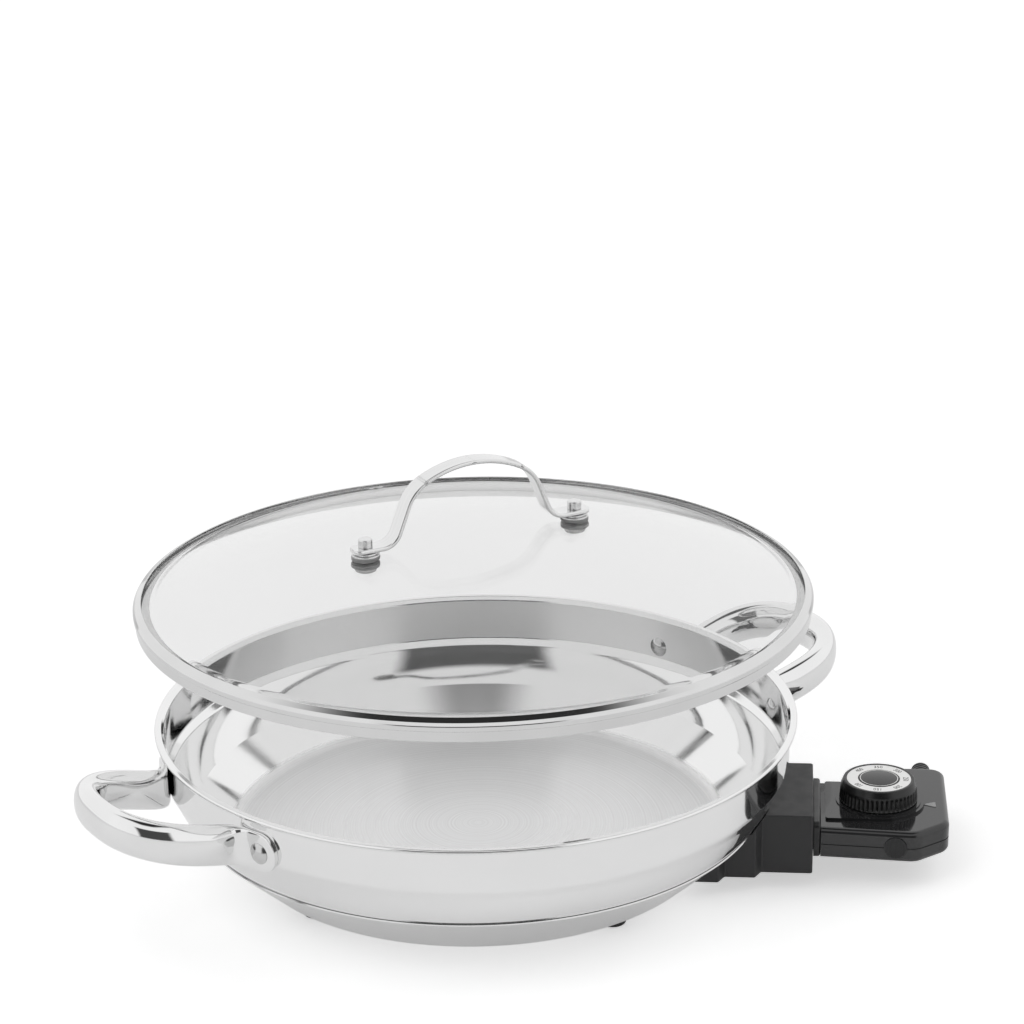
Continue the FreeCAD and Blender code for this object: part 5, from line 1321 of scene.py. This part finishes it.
@dataclass
class Knob:
    """Ribbed knob with a silver dial ring, plain numbers and a glossy cap.

    Attributes:
        x: Distance of its axis from the pan's axis along X.
        y: The same along Y.
        z0: Height of its underside.
        radius: Outer radius at its foot.
        skirt_r: Radius at the top of its skirt.
        skirt_h: Height of its skirt.
        top_r: Radius of its top.
        height: Height of its top.
        wall: Thickness of its skirt at the foot.
        hollow_h: Height of the hollow under it.
        dial_out: Outer radius of the dial ring.
        dial_in: Inner radius of the dial ring.
        dial_sink: How far the dial's bed lies under the top.
        dial_t: Thickness of the dial ring.
        bed_gap: Gap between the bed and the ring.
        cap_r: Radius of the cap.
        cap_dome: Rise of the cap's dome.
        cap_edge: Width of the cap's edge outside its dome.
        trim_in: Inner radius of the cap's silver line.
        trim_out: Outer radius of the line.
        trim_h: Height of the line.
        ribs: Number of ribs.
        rib_depth: Depth of the valleys between them.
        numbers: Figures on the dial, in order.
        figure_h: Size of the figures.
        figure_squeeze: Their width, as a share of the font's own.
        figure_start: Direction of the first one in degrees.
        figure_step: Angle in degrees from one to the next.
        body: Body of all its pieces.
    """

    x: float = 192.5
    y: float = 5.0
    z0: float = 32.2
    radius: float = 18.6
    skirt_r: float = 18.0
    skirt_h: float = 7.3
    top_r: float = 16.8
    height: float = 10.3
    wall: float = 2.4
    hollow_h: float = 5.6
    dial_out: float = 15.3
    dial_in: float = 9.9
    dial_sink: float = 0.8
    dial_t: float = 0.6
    bed_gap: float = 0.05
    cap_r: float = 9.6
    cap_dome: float = 0.6
    cap_edge: float = 0.25
    trim_in: float = 8.7
    trim_out: float = 9.05
    trim_h: float = 0.22
    ribs: int = 48
    rib_depth: float = 0.75
    numbers: tuple[str, ...] = ("100", "150", "200", "250", "300", "350", "400")
    figure_h: float = 3.7
    figure_squeeze: float = 0.78
    figure_start: float = -140.0
    figure_step: float = 46.0
    body: str = "knob"

    @property
    def bed(self) -> float:
        """Height of the dial's bed over the knob's underside."""
        return self.height - self.dial_sink

    def place(self) -> Matrix:
        """Move to the knob's axis."""
        return Matrix.Translation((self.x, self.y, self.z0))

    def grip(self) -> None:
        """Knob body: a turned cup whose skirt is waved.

        The radius is the profile's, less the rib depth times (1 - |cos(n a / 2)|) on the skirt band.
        """
        top, bed, rim = self.height, self.bed, self.dial_out + 0.1
        rows = np.linspace(0.9, self.skirt_h - 0.4, 12)[::-1]
        inner = self.radius - self.wall
        corners = np.array([
            [0.0, bed, 0.0], [rim, bed, 0.05], [rim, top, 0.05],
            [self.top_r, top, 0.7], [self.skirt_r, self.skirt_h, 0.6], [self.radius, 0.0, 0.4],
            [inner, 0.0, 0.3], [inner, self.hollow_h, 1.0], [0.0, self.hollow_h, 0.0],
        ])
        profile = rounded(corners, closed=False, steps=7, guard=0.1)
        joint = np.argmax(profile[:, 1] < self.skirt_h - 0.75)
        side_r = self.skirt_r + (self.radius - self.skirt_r) * (1.0 - rows / self.skirt_h)
        profile = np.vstack([profile[:joint], np.column_stack([side_r, rows])[1:-1], profile[joint:]])
        around = self.ribs * 8
        surface = turned(profile, around)
        angle = np.linspace(0.0, TURN, around, endpoint=False)[:, None]
        z = profile[:, 1][None, :]
        on_side = profile[:, 0][None, :] > self.skirt_r - 0.6
        foot_fade = np.clip((z - 0.3) / 0.5, 0.0, 1.0)
        top_fade = np.clip((self.skirt_h - 1.1 - z) / 0.7, 0.0, 1.0)
        window = foot_fade * top_fade * on_side
        valley = (1.0 - np.abs(np.cos(self.ribs * angle / 2.0))) * window * self.rib_depth
        radius = np.maximum(np.linalg.norm(surface.points[..., :2], axis=-1), 1e-9)
        surface.points[..., :2] *= ((radius - valley) / radius)[..., None]
        ribbed = [moved(surface, self.place())]
        make_piece("knob_ribbed", ribbed, KNOB_BLACK, self.body, ["knob_body"], 50.0)

    def ring(self) -> None:
        """Flat silver ring set into the knob's top."""
        low = self.bed + self.bed_gap
        top = low + self.dial_t
        corners = np.array([
            [self.dial_in, low, 0.02], [self.dial_out, low, 0.02],
            [self.dial_out, top, 0.15], [self.dial_in, top, 0.15],
        ])
        ring = turned(rounded(corners, steps=5, guard=0.03), 128, closed=True)
        placed = [moved(ring, self.place())]
        make_piece("dial_band", placed, DIAL_SILVER, self.body, ["dial_ring"])

    def cap(self) -> None:
        """Low domed cap: a part of a ball whose rise at the middle is the dome."""
        z = self.bed + self.bed_gap + self.dial_t
        ball = (self.cap_r**2 + self.cap_dome**2) / (2.0 * self.cap_dome)
        angle = np.linspace(0.0, math.asin((self.cap_r - self.cap_edge) / ball), 16)
        dome = np.stack([ball * np.sin(angle), z + self.cap_dome - ball * (1.0 - np.cos(angle))], axis=1)
        low = z - self.dial_t
        edge = np.array([[self.cap_r, z - 0.15], [self.cap_r, low], [0.0, low]])
        cap = turned(np.vstack([dome, edge]), 96)
        make_piece("dial_cap", [moved(cap, self.place())], CAP_BLACK, self.body, ["knob_cap"])

    def trim(self) -> None:
        """Thin silver line let into the cap near its edge."""
        low = self.bed + self.dial_t
        top = low + self.trim_h
        corners = np.array([
            [self.trim_in, low, 0.02], [self.trim_out, low, 0.02],
            [self.trim_out, top, 0.05], [self.trim_in, top, 0.05],
        ])
        line = turned(rounded(corners, steps=4, guard=0.02), 96, closed=True)
        make_piece("cap_line", [moved(line, self.place())], DIAL_SILVER, self.body)

    def figure(self, word: str) -> tuple[Array, list[list[int]]]:
        """Flat text as a mesh, narrowed, with its middle at the origin.

        Args:
            word: The text.

        Returns:
            Its points in millimetres, and the point numbers of each face.
        """
        curve = bpy.data.curves.new("figure", "FONT")
        curve.body = word
        curve.align_x, curve.align_y = "CENTER", "CENTER"
        curve.size = self.figure_h
        curve.resolution_u = 2
        curve.extrude = 0.02
        item = bpy.data.objects.new("figure", curve)
        mesh = bpy.data.meshes.new_from_object(item)
        flat = np.empty(len(mesh.vertices) * 3)
        mesh.vertices.foreach_get("co", flat)
        faces = [list(polygon.vertices) for polygon in mesh.polygons]
        bpy.data.objects.remove(item)
        bpy.data.curves.remove(curve)
        bpy.data.meshes.remove(mesh)
        return flat.reshape(-1, 3) * [self.figure_squeeze, 1.0, 1.0], faces

    def figures(self) -> None:
        """Plain numbers on the ring, read from outside: text up points out from the axis."""
        z = self.bed + self.bed_gap + self.dial_t + 0.005
        middle = (self.dial_in + self.dial_out) / 2.0
        points, faces, count = [], [], 0
        for i, word in enumerate(self.numbers):
            flat, parts = self.figure(word)
            angle = math.radians(self.figure_start + self.figure_step * i)
            cos, sin = math.cos(angle), math.sin(angle)
            out, side = flat[:, 1] + middle, flat[:, 0]
            points.append(np.stack([out * cos + side * sin, out * sin - side * cos, flat[:, 2] + z], axis=1))
            faces += [[v + count for v in part] for part in parts]
            count += len(flat)
        everything = (np.concatenate(points) + [self.x, self.y, self.z0]) * MM + AXIS
        mesh = bpy.data.meshes.new("dial_figures")
        mesh.from_pydata(everything.tolist(), [], faces)
        fit_out(into_scene("dial_figures", mesh), DIAL_INK, self.body)

    def build(self) -> None:
        """Makes the knob's pieces."""
        self.grip()
        self.ring()
        self.cap()
        self.trim()
        self.figures()


@dataclass
class PlugControl:
    """Socket bracket and control housing, refined from the frame's own shapes."""

    pieces: tuple[tuple[str, Finish, str, str], ...] = (
        ("socket_bracket", BRACKET_BLACK, "base", "bracket_black"),
        ("control_upper", HOUSING_BLACK, "control", "housing_black"),
        ("control_lower", HOUSING_BLACK, "control", "housing_black"),
        ("control_collar", COLLAR_BLACK, "control", "collar_black"),
        ("cord_gland", COLLAR_BLACK, "control", "collar_black"),
        ("grip_pad", COLLAR_BLACK, "control", "collar_black"),
        ("pointer_mark", MARK_GREY, "control", "mark_grey"),
    )

    def build(self) -> None:
        """Makes the refined copies."""
        for node, finish, body, slot in self.pieces:
            refine(node, finish, body)


@dataclass
class InnerParts:
    """Pieces that stay as the frame has them, and their finishes."""

    finishes: dict[str, Finish] = field(default_factory=lambda: {
        "heat_spreader": SPREADER_METAL,
        "heating_element": SHEATH_METAL,
        "element_pins": SCREW_STEEL,
        "pin_insulators": CERAMIC_WHITE,
        "probe_well": SCREW_STEEL,
        "weld_studs": SCREW_STEEL,
        "bracket_screws": SCREW_STEEL,
        "foot_screws": SCREW_STEEL,
        "control_screws": SCREW_STEEL,
        "contact_sleeves": CONTACT_BRASS,
        "probe_rod": SCREW_STEEL,
        "thermostat": SWITCH_CREAM,
        "knob_shaft": SCREW_STEEL,
    })

    def build(self) -> None:
        """Gives each of these nodes its finish."""
        for name, finish in self.finishes.items():
            dress(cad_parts[name], finish)
            log.info("%s: stays as the frame has it", name)


@dataclass(frozen=True)
class Flag:
    """Dim patch of the room, seen only in gloss and through glass.

    Attributes:
        level: Strength inside the patch; the room round it has 1.
        edges: A measure of the direction looked in, where the patch ends and where it is whole.
    """

    level: float
    edges: tuple[tuple[str, float, float], ...]


@dataclass
class Studio:
    """Pale floor, soft lamps, a bright room with two dim flags, and the camera.

    Attributes:
        view_turn: Turn of the camera and the room about the pan's axis, in degrees.
        distance: Distance of the camera from the rim's centre in millimetres.
        tilt: Angle that the camera looks down, in radians.
        roll: Turn of the camera about its own line of sight, in radians.
        lens: Focal length in millimetres on the sensor.
        sensor: Width of the sensor in millimetres.
        shift: Shift of the lens as a share of the sensor.
        reach: Half the width of the floor in metres.
        glow: The floor's own light to the eye near the part.
        glow_far: The same far from the part.
        glow_span: Distances in metres between which it changes from one to the other.
        glow_in_glass: The floor's own light through glass.
        glow_in_gloss: The floor's own light in gloss.
        fill: Strength of the room as a light.
        flare: How much wider the high flag gets towards the back.
        flags: The low flag stands in front, where the camera is; the high one hangs overhead.
    """

    view_turn: float = 6.2
    distance: float = 1380.834
    tilt: float = 0.409929519
    roll: float = 0.0222712822
    lens: float = 101.5564
    sensor: float = 36.0
    shift: tuple[float, float] = (0.035645, 0.192646)
    reach: float = 6.0
    glow: float = 0.52
    glow_far: float = 0.75
    glow_span: tuple[float, float] = (0.3, 3.0)
    glow_in_glass: float = 0.14
    glow_in_gloss: float = 0.26
    fill: float = 0.4
    flare: float = 0.5
    flags: tuple[Flag, Flag] = (
        Flag(0.07, (("side", 0.50, 0.38), ("up", 0.68, 0.60), ("back", -0.30, -0.45))),
        Flag(0.03, (
            ("flared", 0.42, 0.22), ("back", -0.44, -0.24), ("back", 0.38, 0.14), ("up", 0.30, 0.50),
        )),
    )

    def camera(self) -> None:
        """Camera that looks down at the rim's centre."""
        e, p = self.tilt, self.roll
        right = np.array([1.0, 0.0, 0.0])
        up = np.array([0.0, math.sin(e), math.cos(e)])
        back = np.array([0.0, -math.cos(e), math.sin(e)])
        x = right * math.cos(p) - up * math.sin(p)
        y = up * math.cos(p) + right * math.sin(p)
        table = np.eye(4)
        table[:3, :3] = np.stack([x, y, back], axis=1)
        table[:3, 3] = back * self.distance * MM
        centre = Matrix.Translation((AXIS[0], AXIS[1], Pan.rim_z * MM))
        lens = bpy.data.cameras.new("view")
        lens.lens = self.lens
        lens.sensor_width = self.sensor
        lens.shift_x, lens.shift_y = self.shift
        lens.clip_end = 50.0
        eye = into_scene("view", lens)
        eye.matrix_world = centre @ face_turn(self.view_turn) @ Matrix(table.tolist())
        bpy.context.scene.camera = eye

    def floor(self) -> None:
        """White floor: matt paint that takes the shadow and glows for the eye, more so far away."""
        r = self.reach
        mesh = bpy.data.meshes.new("floor")
        mesh.from_pydata([(-r, -r, 0), (r, -r, 0), (r, r, 0), (-r, r, 0)], [], [(0, 1, 2, 3)])
        paint = bpy.data.materials.new("matt_white_paint")
        paint.use_nodes = True
        tree = paint.node_tree
        tree.nodes.clear()
        where = add_node(tree, "ShaderNodeTexCoord")
        away = add_node(tree, "ShaderNodeVectorMath", {"operation": "LENGTH"}, {0: where.outputs["Object"]})
        near, far = self.glow_span
        far_glow = add_node(
            tree,
            "ShaderNodeMapRange",
            {"From Min": near, "From Max": far, "To Min": self.glow, "To Max": self.glow_far},
            {"Value": away.outputs["Value"]},
        ).outputs["Result"]
        path = add_node(tree, "ShaderNodeLightPath").outputs
        seen = {0: path["Is Camera Ray"], 1: far_glow}
        strength = add_node(tree, "ShaderNodeMath", {"operation": "MULTIPLY"}, seen).outputs[0]
        for ray, glow in (("Is Transmission Ray", self.glow_in_glass), ("Is Glossy Ray", self.glow_in_gloss)):
            more = {0: path[ray], 2: strength}
            adding = {"operation": "MULTIPLY_ADD", 1: glow}
            strength = add_node(tree, "ShaderNodeMath", adding, more).outputs[0]
        light = add_node(tree, "ShaderNodeEmission", links={"Strength": strength})
        matt = add_node(tree, "ShaderNodeBsdfDiffuse", {"Color": linear("#F2F2F2")})
        both = add_node(tree, "ShaderNodeAddShader", links={0: light.outputs[0], 1: matt.outputs[0]})
        add_node(tree, "ShaderNodeOutputMaterial", links={"Surface": both.outputs[0]})
        mesh.materials.append(paint)
        into_scene("floor", mesh)

    def lamp(self, name: str, spot: Sequence[float], size: float, watts: float) -> None:
        """Square soft box that faces the pan's middle and shows in neither gloss nor glass.

        Args:
            name: Name of the lamp.
            spot: Its place in metres.
            size: Its side in metres.
            watts: Its power.
        """
        light = bpy.data.lights.new(name, "AREA")
        light.shape = "SQUARE"
        light.size = size
        light.energy = watts
        item = into_scene(name, light)
        at = Vector(spot)
        item.matrix_world = Matrix.Translation(at) @ (-at).to_track_quat("-Z", "Y").to_matrix().to_4x4()
        item.visible_glossy = False
        item.visible_transmission = False

    def measures(self, tree: bpy.types.NodeTree) -> dict[str, bpy.types.NodeSocket]:
        """Measures of the direction looked in, turned with the camera.

        Side is |x|, back is y, up is z, and flared is |x| less a share of y.

        Args:
            tree: The world's node tree.

        Returns:
            One socket for each measure.
        """
        where = add_node(tree, "ShaderNodeTexCoord").outputs["Generated"]
        turn = {"Rotation": (0.0, 0.0, -math.radians(self.view_turn))}
        faced = add_node(tree, "ShaderNodeMapping", turn, {"Vector": where}).outputs[0]
        x, y, z = add_node(tree, "ShaderNodeSeparateXYZ", links={"Vector": faced}).outputs
        side = add_node(tree, "ShaderNodeMath", {"operation": "ABSOLUTE"}, {0: x}).outputs[0]
        widening = {"operation": "MULTIPLY_ADD", 1: -self.flare}
        flared = add_node(tree, "ShaderNodeMath", widening, {0: y, 2: side}).outputs[0]
        return {"side": side, "back": y, "up": z, "flared": flared}

    def flagged(self, tree: bpy.types.NodeTree) -> bpy.types.NodeSocket:
        """Strength of the room in gloss: 1, and less inside each flag.

        A flag's mask is the product of one smooth step for each of its edges.

        Args:
            tree: The world's node tree.

        Returns:
            The strength.
        """
        measures = self.measures(tree)
        levels = []
        for flag in self.flags:
            steps = []
            for measure, none, full in flag.edges:
                bounds = {"From Min": min(none, full), "From Max": max(none, full)}
                ends = {"To Min": float(none > full), "To Max": float(none < full)}
                smooth = {"interpolation_type": "SMOOTHSTEP", **bounds, **ends}
                value = {"Value": measures[measure]}
                steps.append(add_node(tree, "ShaderNodeMapRange", smooth, value).outputs["Result"])
            mask = steps[0]
            for step in steps[1:]:
                pair = {0: mask, 1: step}
                mask = add_node(tree, "ShaderNodeMath", {"operation": "MULTIPLY"}, pair).outputs[0]
            dimming = {"From Min": 0.0, "From Max": 1.0, "To Min": 1.0, "To Max": flag.level}
            levels.append(add_node(tree, "ShaderNodeMapRange", dimming, {"Value": mask}).outputs["Result"])
        both = {0: levels[0], 1: levels[1]}
        return add_node(tree, "ShaderNodeMath", {"operation": "MULTIPLY"}, both).outputs[0]

    def room(self) -> None:
        """World: white to the eye, an even fill as a light, and in gloss and glass white with its flags."""
        world = bpy.data.worlds.new("room")
        bpy.context.scene.world = world
        world.use_nodes = True
        tree = world.node_tree
        tree.nodes.clear()
        white = {"Color": (1, 1, 1, 1)}
        seen = add_node(tree, "ShaderNodeBackground", {**white, "Strength": 1.0})
        gloss = add_node(tree, "ShaderNodeBackground", white, {"Strength": self.flagged(tree)})
        even = add_node(tree, "ShaderNodeBackground", {**white, "Strength": self.fill})
        path = add_node(tree, "ShaderNodeLightPath").outputs
        rays = {0: path["Is Glossy Ray"], 1: path["Is Transmission Ray"]}
        bent = add_node(tree, "ShaderNodeMath", {"operation": "MAXIMUM"}, rays).outputs[0]
        lit = add_node(tree, "ShaderNodeMixShader", links={0: bent, 1: even.outputs[0], 2: gloss.outputs[0]})
        views = {0: path["Is Camera Ray"], 1: lit.outputs[0], 2: seen.outputs[0]}
        whole = add_node(tree, "ShaderNodeMixShader", links=views)
        add_node(tree, "ShaderNodeOutputWorld", links={"Surface": whole.outputs[0]})

    def build(self) -> None:
        """Makes the studio."""
        self.camera()
        self.floor()
        self.lamp("key", (-0.9, -0.7, 1.6), 1.4, 8.0)
        self.lamp("fill", (1.2, 0.4, 1.5), 1.4, 5.0)
        self.room()
        bpy.context.scene.view_settings.view_transform = "Standard"


def main() -> None:
    """Builds every sub-assembly."""
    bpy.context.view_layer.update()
    InnerParts().build()
    Pan().build()
    LoopHandles().build()
    lid = GlassLid()
    lid.build()
    StrapHandle(lid).build()
    Knob().build()
    PlugControl().build()
    Studio().build()


if __name__ == "__main__":
    main()
